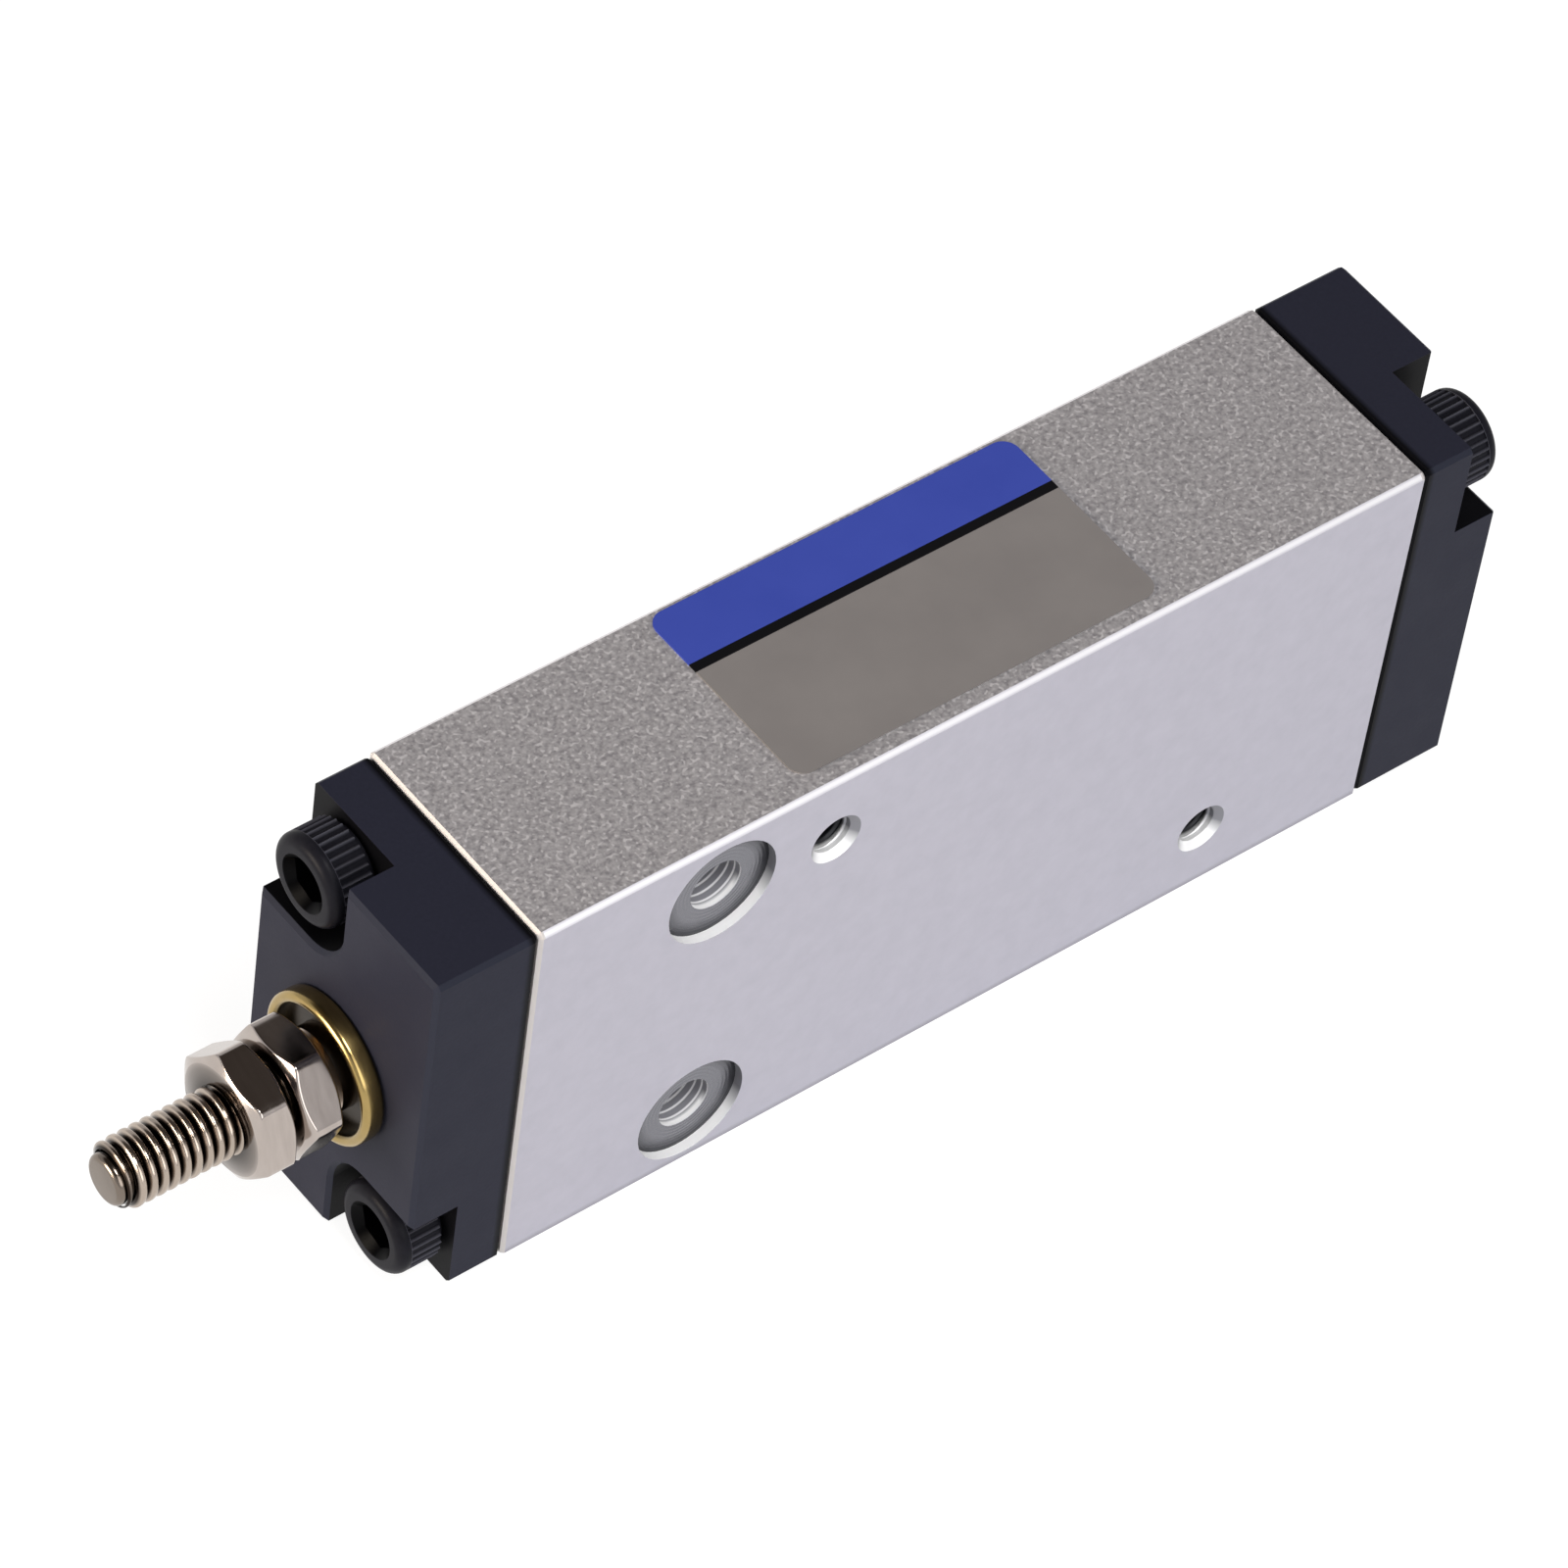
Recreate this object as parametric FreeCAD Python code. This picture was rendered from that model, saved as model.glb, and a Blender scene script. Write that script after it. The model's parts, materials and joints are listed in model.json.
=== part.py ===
import FreeCAD, Part
import math
import os

from FreeCAD import Vector

# Compact double-acting pneumatic cylinder: a rectangular tube between two bolted end covers.
# +X is the way the rod extends, +Y runs from the seat face to the face with the mounting holes,
# and +Z is up, towards the label. The origin is the middle of the seat face, one of the tube's
# two wide faces. The rod is drawn fully retracted. All sizes are in millimetres.

# Bore and stroke
bore_diameter = 10.0
stroke = 30.0

# Tube
tube_width = 15.0
tube_height = 26.5
tube_edge_chamfer = 0.3
tube_end_chamfer = 0.2

# Spot-faced through holes for mounting screws, near the rod end
through_hole_diameter = 3.3
through_hole_spacing = 18.0
through_hole_from_rod_end = 12.2
spotface_diameter = 7.0
spotface_depth = 0.6

# Tapped mounting holes, one at the top near the rod end and one at the bottom near the head end
tapped_hole_diameter = 2.5
tapped_hole_chamfer = 0.4
tapped_hole_depth = 7.0
tapped_hole_spacing = 16.8
tapped_hole_from_rod_end = 19.8
tapped_hole_from_head_end = 12.2
drill_point_angle = 118.0

# Air ports in the underside
port_diameter = 4.2
port_depth = 5.0
port_chamfer = 0.4
port_passage_diameter = 2.5

# End covers
cover_thickness = 6.5
cover_inset = 0.1
cover_edge_chamfer = 0.25
cover_joint_chamfer = 0.25
flange_thickness = 3.4
pocket_gap_across = 0.85
pocket_gap_up = 0.75
pocket_corner_radius = 2.8
spigot_land_length = 5.0
spigot_nose_gap = 1.0
rod_spigot_nose_wall = 0.25
rod_spigot_nose_length = 5.5
head_spigot_nose_length = 3.0

# Cover screws, with hexagon sockets
screw_from_wide_faces = 3.4
screw_from_narrow_faces = 3.2
screw_diameter = 3.0
screw_length = 10.0
screw_hole_spare = 1.9
screw_hole_gap = 0.2
screw_head_diameter = 5.5
screw_head_height = 3.0
screw_head_rim_chamfer = 0.4
screw_socket_width = 2.5
screw_socket_depth = 1.5

# Static rings between the tube and the covers
cover_ring_width = 1.0
cover_ring_depth = 0.8

# Piston rod and its lock nuts
rod_diameter = 5.0
rod_out = 1.8
rod_thread_diameter = 4.0
rod_thread_length = 12.9
rod_end_chamfer = 0.5
thread_mid_depth = 0.25
nut_width = 7.0
nut_thickness = 2.4
nut_chamfer_angle = 30.0
nut_from_shoulder = 0.15
nut_gap = 0.5
inner_nut_turn = 67.0
outer_nut_turn = 47.5

# Rod bush and rod packing
bush_diameter = 7.5
bush_length = 8.5
bush_collar_diameter = 9.0
bush_collar_thickness = 1.3
bush_collar_chamfer = 0.3
bush_recess_diameter = 7.6
bush_recess_depth = 0.9
rod_packing_length = 3.0
rod_passage_gap = 0.3

# Lips of the packings: how thin they are at the edge, and the solid heel behind them
packing_lip = 0.22
packing_heel = 1.0

# Piston, with a bumper in each face, a packing behind each bumper and a wear ring between them
piston_bore_gap = 0.1
piston_seat_wall = 0.2
piston_land = 0.6
packing_width = 1.8
packing_depth = 1.4
wear_ring_width = 1.7
wear_ring_depth = 0.7
wear_ring_split = 0.4
bumper_from_piston_edge = 0.3
bumper_from_rod = 0.5
bumper_proud = 1.5
bumper_seat_depth = 0.7
rod_tail_diameter = 3.0
rivet_head_diameter = 4.4
rivet_head_height = 0.7
rod_ring_diameter = 4.4
rod_ring_depth = 0.6

# Label film on the top face, placed from the rod end and from the tube's two wide faces
label_length = 24.6
label_thickness = 0.1
label_corner_radius = 1.0
label_from_rod_end = 17.65
label_from_seat_face = 0.5
label_from_hole_face = 1.3

# Clearances, each measured on the radius or along the axis
running_clearance = 0.02
seat_clearance = 0.02
end_clearance = 0.1

# Points closer than this count as one place
same_place = 1e-6

# Places that follow from the sizes above
axis_y = tube_width / 2
rod_spigot_length = spigot_land_length + rod_spigot_nose_length
head_spigot_length = spigot_land_length + head_spigot_nose_length
piston_end_length = bumper_seat_depth + piston_seat_wall + packing_width + piston_land
piston_length = 2 * piston_end_length + wear_ring_width
piston_stack = piston_length + 2 * bumper_proud
tube_length = rod_spigot_length + head_spigot_length + stroke + piston_stack + 2 * end_clearance
rod_end = tube_length / 2
head_end = -tube_length / 2
top = tube_height / 2
cover_face = rod_end + cover_thickness
piston_rear = head_end + head_spigot_length + end_clearance + bumper_proud
piston_front = piston_rear + piston_length
rod_shoulder = cover_face + rod_out
rod_tip = rod_shoulder + rod_thread_length
inner_nut_start = rod_shoulder + nut_from_shoulder
outer_nut_start = inner_nut_start + nut_thickness + nut_gap
outer_nut_end = outer_nut_start + nut_thickness
thread_radius = rod_thread_diameter / 2
thread_mid_radius = thread_radius - thread_mid_depth
rod_radius = rod_diameter / 2
screw_y = tube_width / 2 - screw_from_wide_faces
screw_z = tube_height / 2 - screw_from_narrow_faces
screw_hole_depth = screw_length - flange_thickness + screw_hole_spare
bore_radius = bore_diameter / 2
piston_radius = bore_radius - piston_bore_gap
bumper_outer_radius = piston_radius - bumper_from_piston_edge
bumper_inner_radius = rod_radius + bumper_from_rod
along = Vector(1, 0, 0)
across = Vector(0, 1, 0)
up = Vector(0, 0, 1)


def rod_wise(radius, start_x, length, y=axis_y, z=0.0):
    """Return a round bar along X, on the bore's axis unless told otherwise."""
    return Part.makeCylinder(radius, length, Vector(start_x, y, z), along)


def turned(profile):
    """Turn a closed outline of (x, radius) points about the bore's axis."""
    points = [Vector(x, axis_y, radius) for x, radius in profile]
    face = Part.Face(Part.makePolygon(points + points[:1]))
    return face.revolve(Vector(0, axis_y, 0), along, 360)


def ring(inner_radius, outer_radius, start_x, length):
    """Return a plain ring on the bore's axis."""
    return turned([
        (start_x, inner_radius),
        (start_x, outer_radius),
        (start_x + length, outer_radius),
        (start_x + length, inner_radius),
    ])


def lip_packing(inner_radius, outer_radius, start_x, length, open_side):
    """Return a packing ring with two lips, parted by a groove in the face on the open side."""
    middle = (inner_radius + outer_radius) / 2
    open_x = start_x + length if open_side > 0 else start_x
    body = ring(inner_radius, outer_radius, start_x, length)
    return body.cut(turned([
        (open_x, inner_radius + packing_lip),
        (open_x, outer_radius - packing_lip),
        (open_x - open_side * (length - packing_heel), middle),
    ]))


def edges_along(shape, direction):
    """Return the straight edges that run in one direction."""
    found = []
    for edge in shape.Edges:
        if isinstance(edge.Curve, Part.Line) and edge.Curve.Direction.cross(direction).Length < same_place:
            found.append(edge)
    return found


def edges_in_plane(shape, x):
    """Return the edges that lie in the plane square to the bore's axis at x."""
    found = []
    for edge in shape.Edges:
        box = edge.BoundBox
        if abs(box.XMin - x) < same_place and abs(box.XMax - x) < same_place:
            found.append(edge)
    return found


def edge_is_at(edge, y, z):
    """Tell whether an edge along X lies at this y and z."""
    return abs(edge.CenterOfMass.y - y) < same_place and abs(edge.CenterOfMass.z - z) < same_place


def screw_places(upper_side):
    """Return the (y, z) of a cover's two screws, the upper one on the side that is given."""
    return [(axis_y + upper_side * screw_y, screw_z), (axis_y - upper_side * screw_y, -screw_z)]


def drilled_hole(radius, mouth, inward, depth, chamfer):
    """Return the shape of a blind drilled hole with a chamfered mouth and a drill point."""
    hole = Part.makeCylinder(radius, depth, mouth, inward)
    hole = hole.fuse(Part.makeCone(radius + chamfer, radius, chamfer, mouth, inward))
    point_height = radius / math.tan(math.radians(drill_point_angle / 2))
    point = Part.makeCone(radius, 0, point_height, mouth + inward * depth, inward)
    return hole.fuse(point)


def cylinder_tube():
    """Make the tube: the bore, its ring seats, the screw holes, the mounting holes and the ports."""
    corner = Vector(head_end, 0, -tube_height / 2)
    block = Part.makeBox(tube_length, tube_width, tube_height, corner)
    block = block.makeChamfer(tube_edge_chamfer, edges_along(block, along))
    end_edges = edges_in_plane(block, rod_end) + edges_in_plane(block, head_end)
    block = block.makeChamfer(tube_end_chamfer, end_edges)
    cuts = [rod_wise(bore_radius, head_end, tube_length)]
    ring_seat_radius = bore_radius + cover_ring_width
    cuts.append(rod_wise(ring_seat_radius, rod_end - cover_ring_depth, cover_ring_depth))
    cuts.append(rod_wise(ring_seat_radius, head_end, cover_ring_depth))
    screw_radius = screw_diameter / 2 + seat_clearance
    for y, z in screw_places(-1):
        cuts.append(rod_wise(screw_radius, rod_end - screw_hole_depth, screw_hole_depth, y, z))
    for y, z in screw_places(1):
        cuts.append(rod_wise(screw_radius, head_end, screw_hole_depth, y, z))
    for side in (1, -1):
        place = Vector(rod_end - through_hole_from_rod_end, 0, side * through_hole_spacing / 2)
        cuts.append(Part.makeCylinder(through_hole_diameter / 2, tube_width, place, across))
        seat = place + across * (tube_width - spotface_depth)
        cuts.append(Part.makeCylinder(spotface_diameter / 2, spotface_depth, seat, across))
    tapped = [
        Vector(rod_end - tapped_hole_from_rod_end, tube_width, tapped_hole_spacing / 2),
        Vector(head_end + tapped_hole_from_head_end, tube_width, -tapped_hole_spacing / 2),
    ]
    tapped_radius = tapped_hole_diameter / 2
    for mouth in tapped:
        cuts.append(drilled_hole(tapped_radius, mouth, -across, tapped_hole_depth, tapped_hole_chamfer))
    ports = [
        rod_end - spigot_land_length - rod_spigot_nose_length / 2,
        head_end + spigot_land_length + head_spigot_nose_length / 2,
    ]
    for x in ports:
        mouth = Vector(x, axis_y, -top)
        cuts.append(drilled_hole(port_diameter / 2, mouth, up, port_depth, port_chamfer))
        cuts.append(Part.makeCylinder(port_passage_diameter / 2, top, mouth, up))
    return block.cut(cuts)


def cover_plate(inner_x, outward, upper_side):
    """Make a cover's plate with two open pockets for the screw heads, at opposite corners."""
    width = tube_width - 2 * cover_inset
    height = tube_height - 2 * cover_inset
    outer_x = inner_x + outward * cover_thickness
    plate_corner = Vector(min(inner_x, outer_x), cover_inset, -height / 2)
    plate = Part.makeBox(cover_thickness, width, height, plate_corner)
    plate = plate.makeChamfer(cover_edge_chamfer, edges_along(plate, along))
    plate = plate.makeChamfer(cover_joint_chamfer, edges_in_plane(plate, inner_x))
    pocket_depth = cover_thickness - flange_thickness
    floor_x = inner_x + outward * flange_thickness
    pocket_start = min(floor_x, floor_x + outward * pocket_depth)
    gap_y = screw_head_diameter / 2 + pocket_gap_across
    gap_z = screw_head_diameter / 2 + pocket_gap_up
    reach_y = gap_y + screw_from_wide_faces
    reach_z = gap_z + screw_from_narrow_faces
    for y, z in screw_places(upper_side):
        wall_y = y - gap_y if y > axis_y else y + gap_y
        wall_z = z - gap_z if z > 0 else z + gap_z
        far_y = wall_y + reach_y if y > axis_y else wall_y - reach_y
        far_z = wall_z + reach_z if z > 0 else wall_z - reach_z
        corner = Vector(pocket_start, min(wall_y, far_y), min(wall_z, far_z))
        pocket = Part.makeBox(pocket_depth, reach_y, reach_z, corner)
        inner_edge = [edge for edge in edges_along(pocket, along) if edge_is_at(edge, wall_y, wall_z)]
        plate = plate.cut(pocket.makeFillet(pocket_corner_radius, inner_edge))
    plate = plate.removeSplitter()
    return plate.makeChamfer(cover_edge_chamfer, edges_in_plane(plate, outer_x))


def screw_clearance_holes(inner_x, outward, upper_side):
    """Return the holes through a cover's flange for its screws."""
    start_x = min(inner_x, inner_x + outward * flange_thickness)
    radius = screw_diameter / 2 + screw_hole_gap
    return [rod_wise(radius, start_x, flange_thickness, y, z) for y, z in screw_places(upper_side)]


def rod_cover():
    """Make the cover at the rod end, with its spigot, the bush's seat and the packing's seat."""
    land = rod_wise(bore_radius - seat_clearance, rod_end - spigot_land_length, spigot_land_length)
    nose_radius = bush_diameter / 2 + rod_spigot_nose_wall
    nose = rod_wise(nose_radius, rod_end - rod_spigot_length, rod_spigot_length)
    cover = cover_plate(rod_end, 1, -1).fuse([land, nose])
    seat_length = bush_length + rod_packing_length
    seat = rod_wise(bush_diameter / 2 + seat_clearance, cover_face - seat_length, seat_length)
    passage = rod_wise(rod_radius + rod_passage_gap, rod_end - rod_spigot_length, rod_spigot_length)
    return cover.cut([seat, passage] + screw_clearance_holes(rod_end, 1, -1))


def head_cover():
    """Make the closed cover at the head end, with its spigot."""
    land = rod_wise(bore_radius - seat_clearance, head_end, spigot_land_length)
    nose = rod_wise(bore_radius - spigot_nose_gap, head_end, head_spigot_length)
    cover = cover_plate(head_end, -1, 1).fuse([land, nose])
    return cover.cut(screw_clearance_holes(head_end, -1, 1))


def cover_ring(start_x):
    """Make a squeezed sealing ring that fills the seat between a spigot and the tube."""
    inner = bore_radius + seat_clearance
    outer = bore_radius + cover_ring_width - seat_clearance
    return ring(inner, outer, start_x + seat_clearance, cover_ring_depth - 2 * seat_clearance)


def cover_screw(y, z, floor_x, outward):
    """Make one socket screw, its head on a pocket's floor and its shank towards the tube."""
    head_radius = screw_head_diameter / 2
    inward = along * -outward
    seat = Vector(floor_x, y, z)
    head = Part.makeCylinder(head_radius, screw_head_height, seat, along * outward)
    face_x = floor_x + outward * screw_head_height
    head = head.makeChamfer(screw_head_rim_chamfer, edges_in_plane(head, face_x))
    shank = Part.makeCylinder(screw_diameter / 2, screw_length, seat, inward)
    socket = hexagon(screw_socket_width, Vector(face_x, y, z), 0).extrude(inward * screw_socket_depth)
    return head.fuse(shank).cut(socket)


def cover_screws(upper_side, floor_x, outward):
    """Make a cover's two screws."""
    return Part.makeCompound([cover_screw(y, z, floor_x, outward) for y, z in screw_places(upper_side)])


def hexagon(width, centre, turn):
    """Return a hexagonal face square to X, with its first corner turned from +Y towards +Z."""
    corner_radius = width / math.sqrt(3)
    points = []
    for side in range(7):
        angle = math.radians(turn + 60 * side)
        spoke = across * math.cos(angle) + up * math.sin(angle)
        points.append(centre + spoke * corner_radius)
    return Part.Face(Part.makePolygon(points))


def rod_bush():
    """Make the brass bush that guides the rod, with its recessed collar on the cover's face."""
    inner = rod_radius + running_clearance
    collar = bush_collar_diameter / 2
    recess = bush_recess_diameter / 2
    front_x = cover_face + bush_collar_thickness
    return turned([
        (cover_face - bush_length, inner),
        (cover_face - bush_length, bush_diameter / 2),
        (cover_face, bush_diameter / 2),
        (cover_face, collar),
        (front_x - bush_collar_chamfer, collar),
        (front_x, collar - bush_collar_chamfer),
        (front_x, recess),
        (front_x - bush_recess_depth, recess),
        (front_x - bush_recess_depth, inner),
    ])


def rod_packing():
    """Make the lip packing behind the bush, its lips towards the pressure."""
    start_x = cover_face - bush_length - rod_packing_length + seat_clearance
    length = rod_packing_length - 2 * seat_clearance
    return lip_packing(rod_radius + running_clearance, bush_diameter / 2, start_x, length, -1)


def label_film():
    """Make the bare label film on the tube's top face."""
    width = tube_width - label_from_seat_face - label_from_hole_face
    corner = Vector(rod_end - label_from_rod_end - label_length, label_from_seat_face, top)
    film = Part.makeBox(label_length, width, label_thickness, corner)
    return film.makeFillet(label_corner_radius, edges_along(film, up))


def piston_grooves():
    """Return the (start, width, depth) of the grooves for the rear packing, wear ring and front packing."""
    wall = bumper_seat_depth + piston_seat_wall
    return [
        (piston_rear + wall, packing_width, packing_depth),
        (piston_rear + piston_end_length, wear_ring_width, wear_ring_depth),
        (piston_front - wall - packing_width, packing_width, packing_depth),
    ]


def piston():
    """Make the piston with its ring grooves, bumper seats, rod hole and rivet seat."""
    body = rod_wise(piston_radius, piston_rear, piston_length)
    cuts = []
    for start, width, depth in piston_grooves():
        cuts.append(ring(piston_radius - depth, piston_radius, start, width))
    inner = bumper_inner_radius - seat_clearance
    outer = bumper_outer_radius + seat_clearance
    cuts.append(ring(inner, outer, piston_rear, bumper_seat_depth))
    cuts.append(ring(inner, outer, piston_front - bumper_seat_depth, bumper_seat_depth))
    cuts.append(rod_wise(rod_tail_diameter / 2 + seat_clearance, piston_rear, piston_length))
    cuts.append(rod_wise(rivet_head_diameter / 2 + seat_clearance, piston_rear, rivet_head_height))
    cuts.append(rod_wise(rod_ring_diameter / 2, piston_front - rod_ring_depth, rod_ring_depth))
    return body.cut(cuts)


def piston_ring_sizes(groove):
    """Return the start, length and inner radius of a ring that sits in one of the piston's grooves."""
    start, width, depth = groove
    inner = piston_radius - depth + seat_clearance
    return start + seat_clearance, width - 2 * seat_clearance, inner


def piston_packing(groove, open_side):
    """Make one of the piston's lip packings."""
    start, length, inner = piston_ring_sizes(groove)
    return lip_packing(inner, bore_radius - running_clearance, start, length, open_side)


def wear_ring(groove):
    """Make the wear ring that guides the piston in the bore, split so that it springs into its groove."""
    start, length, inner = piston_ring_sizes(groove)
    split_corner = Vector(start, axis_y - wear_ring_split / 2, 0)
    split = Part.makeBox(length, wear_ring_split, bore_radius, split_corner)
    return ring(inner, bore_radius - running_clearance, start, length).cut(split)


def bumper(start_x):
    """Make a rubber bumper ring, part of its length held in the piston's face."""
    length = bumper_seat_depth + bumper_proud
    return ring(bumper_inner_radius, bumper_outer_radius, start_x, length)


def piston_rod():
    """Make the rod: its riveted tail, its ground shank and its threaded end.

    The free thread is drawn at its full width. Under the nuts, rod and nuts meet half-way up the thread.
    """
    step = rod_radius - thread_radius
    return turned([
        (piston_rear, 0),
        (piston_rear, rivet_head_diameter / 2),
        (piston_rear + rivet_head_height, rivet_head_diameter / 2),
        (piston_rear + rivet_head_height, rod_tail_diameter / 2),
        (piston_front, rod_tail_diameter / 2),
        (piston_front, rod_radius),
        (rod_shoulder - step, rod_radius),
        (rod_shoulder, thread_radius),
        (rod_shoulder, thread_mid_radius),
        (outer_nut_end, thread_mid_radius),
        (outer_nut_end, thread_radius),
        (rod_tip - rod_end_chamfer, thread_radius),
        (rod_tip, thread_radius - rod_end_chamfer),
        (rod_tip, 0),
    ])


def rod_ring():
    """Make the static ring that seals the rod to the piston."""
    start_x = piston_front - rod_ring_depth + seat_clearance
    inner = rod_tail_diameter / 2 + seat_clearance
    return ring(inner, rod_ring_diameter / 2 - seat_clearance, start_x, rod_ring_depth - 2 * seat_clearance)


def rod_nut(start_x, turn):
    """Make a thin hexagon nut, chamfered on both faces, on the rod's thread."""
    blank = hexagon(nut_width, Vector(start_x, axis_y, 0), turn).extrude(along * nut_thickness)
    corner = nut_width / math.sqrt(3)
    face = nut_width / 2
    slope = (corner - face) * math.tan(math.radians(nut_chamfer_angle))
    end_x = start_x + nut_thickness
    envelope = turned([
        (start_x, 0),
        (start_x, face),
        (start_x + slope, corner),
        (end_x - slope, corner),
        (end_x, face),
        (end_x, 0),
    ])
    hole = rod_wise(thread_mid_radius + seat_clearance, start_x, nut_thickness)
    return blank.common(envelope).cut(hole)


def export(name, shape):
    """Write one sub-part to its own file."""
    shape.exportStep("parts/" + name + ".step")


os.makedirs("parts", exist_ok=True)
rear_groove, middle_groove, front_groove = piston_grooves()

export("cylinder_tube", cylinder_tube())
export("rod_cover", rod_cover())
export("head_cover", head_cover())
export("rod_cover_ring", cover_ring(rod_end - cover_ring_depth))
export("head_cover_ring", cover_ring(head_end))
export("rod_cover_screws", cover_screws(-1, rod_end + flange_thickness, 1))
export("head_cover_screws", cover_screws(1, head_end - flange_thickness, -1))
export("rod_bush", rod_bush())
export("rod_packing", rod_packing())
export("label_film", label_film())
export("piston", piston())
export("rear_piston_packing", piston_packing(rear_groove, -1))
export("wear_ring", wear_ring(middle_groove))
export("front_piston_packing", piston_packing(front_groove, 1))
export("rear_bumper", bumper(piston_rear - bumper_proud))
export("front_bumper", bumper(piston_front - bumper_seat_depth))
export("piston_rod", piston_rod())
export("rod_ring", rod_ring())
export("inner_nut", rod_nut(inner_nut_start, inner_nut_turn))
export("outer_nut", rod_nut(outer_nut_start, outer_nut_turn))
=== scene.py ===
import json
import math

import bmesh
import bpy
from mathutils import Matrix, Vector


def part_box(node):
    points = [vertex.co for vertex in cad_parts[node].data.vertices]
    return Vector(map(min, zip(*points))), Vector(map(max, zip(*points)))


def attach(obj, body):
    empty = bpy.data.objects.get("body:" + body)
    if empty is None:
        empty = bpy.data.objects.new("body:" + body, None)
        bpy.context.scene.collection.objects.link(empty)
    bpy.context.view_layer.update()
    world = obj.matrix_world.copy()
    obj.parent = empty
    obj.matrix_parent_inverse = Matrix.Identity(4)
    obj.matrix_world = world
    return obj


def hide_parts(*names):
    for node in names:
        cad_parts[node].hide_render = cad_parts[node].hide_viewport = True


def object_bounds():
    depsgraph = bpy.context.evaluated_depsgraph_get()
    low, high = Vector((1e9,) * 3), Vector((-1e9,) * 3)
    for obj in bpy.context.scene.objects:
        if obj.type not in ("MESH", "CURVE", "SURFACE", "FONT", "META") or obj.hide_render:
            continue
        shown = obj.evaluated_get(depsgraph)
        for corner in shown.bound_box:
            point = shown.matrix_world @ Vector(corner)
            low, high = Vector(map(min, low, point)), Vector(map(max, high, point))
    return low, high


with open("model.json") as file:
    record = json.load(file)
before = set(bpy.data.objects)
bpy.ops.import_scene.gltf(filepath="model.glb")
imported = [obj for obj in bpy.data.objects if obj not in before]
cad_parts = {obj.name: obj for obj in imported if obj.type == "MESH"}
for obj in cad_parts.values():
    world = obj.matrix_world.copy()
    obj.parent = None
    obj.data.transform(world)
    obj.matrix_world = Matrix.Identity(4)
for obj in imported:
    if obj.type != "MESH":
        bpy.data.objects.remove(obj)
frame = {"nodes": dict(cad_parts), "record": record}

# Compact pneumatic cylinder, dressed with its finishes, rolled and tapped threads, knurled screws and nuts.
# Lengths are in metres, in the solids' own axes: +X along the rod, +Y to the mounting holes, +Z to the label.

CAD_LOW, CAD_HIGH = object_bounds()
MM = 0.001

# Meshes: weld distance, the angle above which an edge is sharp, and the steps of an arc
WELD = 0.0005 * MM
FACET_ANGLE = math.radians(32)
ARC_STEPS = 10

# Inputs of a colour mix: its share from 0 to 1, and its two colours
SHARE, FIRST, SECOND = 0, 6, 7

# Places read from the solids
TUBE_LOW, TUBE_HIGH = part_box("cylinder_tube")
TUBE_MIDDLE = (TUBE_LOW + TUBE_HIGH) / 2
TUBE_HALF = (TUBE_HIGH - TUBE_LOW) / 2
ROD_LOW, ROD_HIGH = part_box("piston_rod")
ROD_RADIUS = (ROD_HIGH.z - ROD_LOW.z) / 2
AXIS_Y = (ROD_LOW.y + ROD_HIGH.y) / 2
MOUNTS = {mount["name"]: mount for mount in frame["record"]["mounts"]}

# Faces: how square a flat face is to its axis, how slanted a chamfer, and distances that tell faces apart
SQUARE_ON = 0.95
FULLY_SQUARE = 0.98
SLANTED = 0.9
SKIN = 0.02 * MM
FACE_MARGIN = 0.1 * MM

# Anodised tube: grain of its faces, painted shade along their lower edges, and a painted highlight, a bright
# line along the chamfers
BLAST_GRAIN = 0.3 * MM
BLAST_FLECK = 0.24 * MM
SATIN_CLOUD = 1.1 * MM
LOW_SHADE_START = 0.1 * MM
LOW_SHADE_END = 0.75 * MM
EDGE_BAND = 0.32 * MM
EDGE_HIGHLIGHT_LINE = 0.08 * MM

# Spot faces: where painted shade darkens them towards the rim, and turned rings, drawn coarse enough to show
SPOT_FACE_RADIUS = 3.5 * MM
SPOT_SHADE_RADIUS = 2.5 * MM
TURNED_RING = 0.25 * MM
RING_HEIGHT = 0.12

# Holes: how far a through hole's wall lies from its axis, depths where walls are painted lit and where
# painted shade takes over, and the spacing of painted glints
THROUGH_RADIUS = 2.0 * MM
LIT_DEPTH = 0.85 * MM
SHADED_DEPTH = 1.05 * MM
GLINT_SPACING = 0.5 * MM

# Grain of the other finishes, drawn as coarse as it needs to show, and painted shade along the covers' joint
# to the tube
COVER_GRAIN = 0.22 * MM
COVER_CLOUD = 3.0 * MM
OXIDE_GRAIN = 0.3 * MM
FILM_CLOUD = 4.0 * MM
JOINT_DARK = 0.35 * MM
JOINT_UNSHADED = 0.7 * MM

# Turned metal: how slowly its streaks change round the axis, and its least and most roughness as shares
STREAK_STRETCH = 0.2
LEAST_ROUGH = 0.8
MOST_ROUGH = 1.3

# Threads: pitches, the ridge's shape as shares of the pitch, and how far it is sunk into its wall
ROD_PITCH = 0.7 * MM
SCREW_PITCH = 0.5 * MM
TAPPED_PITCH = 0.5 * MM
PORT_PITCH = 0.8 * MM
CREST_SHARE = 0.34
CREST_ROUND = 0.16
ROOT_SHARE = 0.9
THREAD_DEPTH_SHARE = 0.52
TAPPED_DEPTH_SHARE = 0.3
RIDGE_BURIED = 0.02 * MM
HELIX_STEPS = 64

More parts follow.
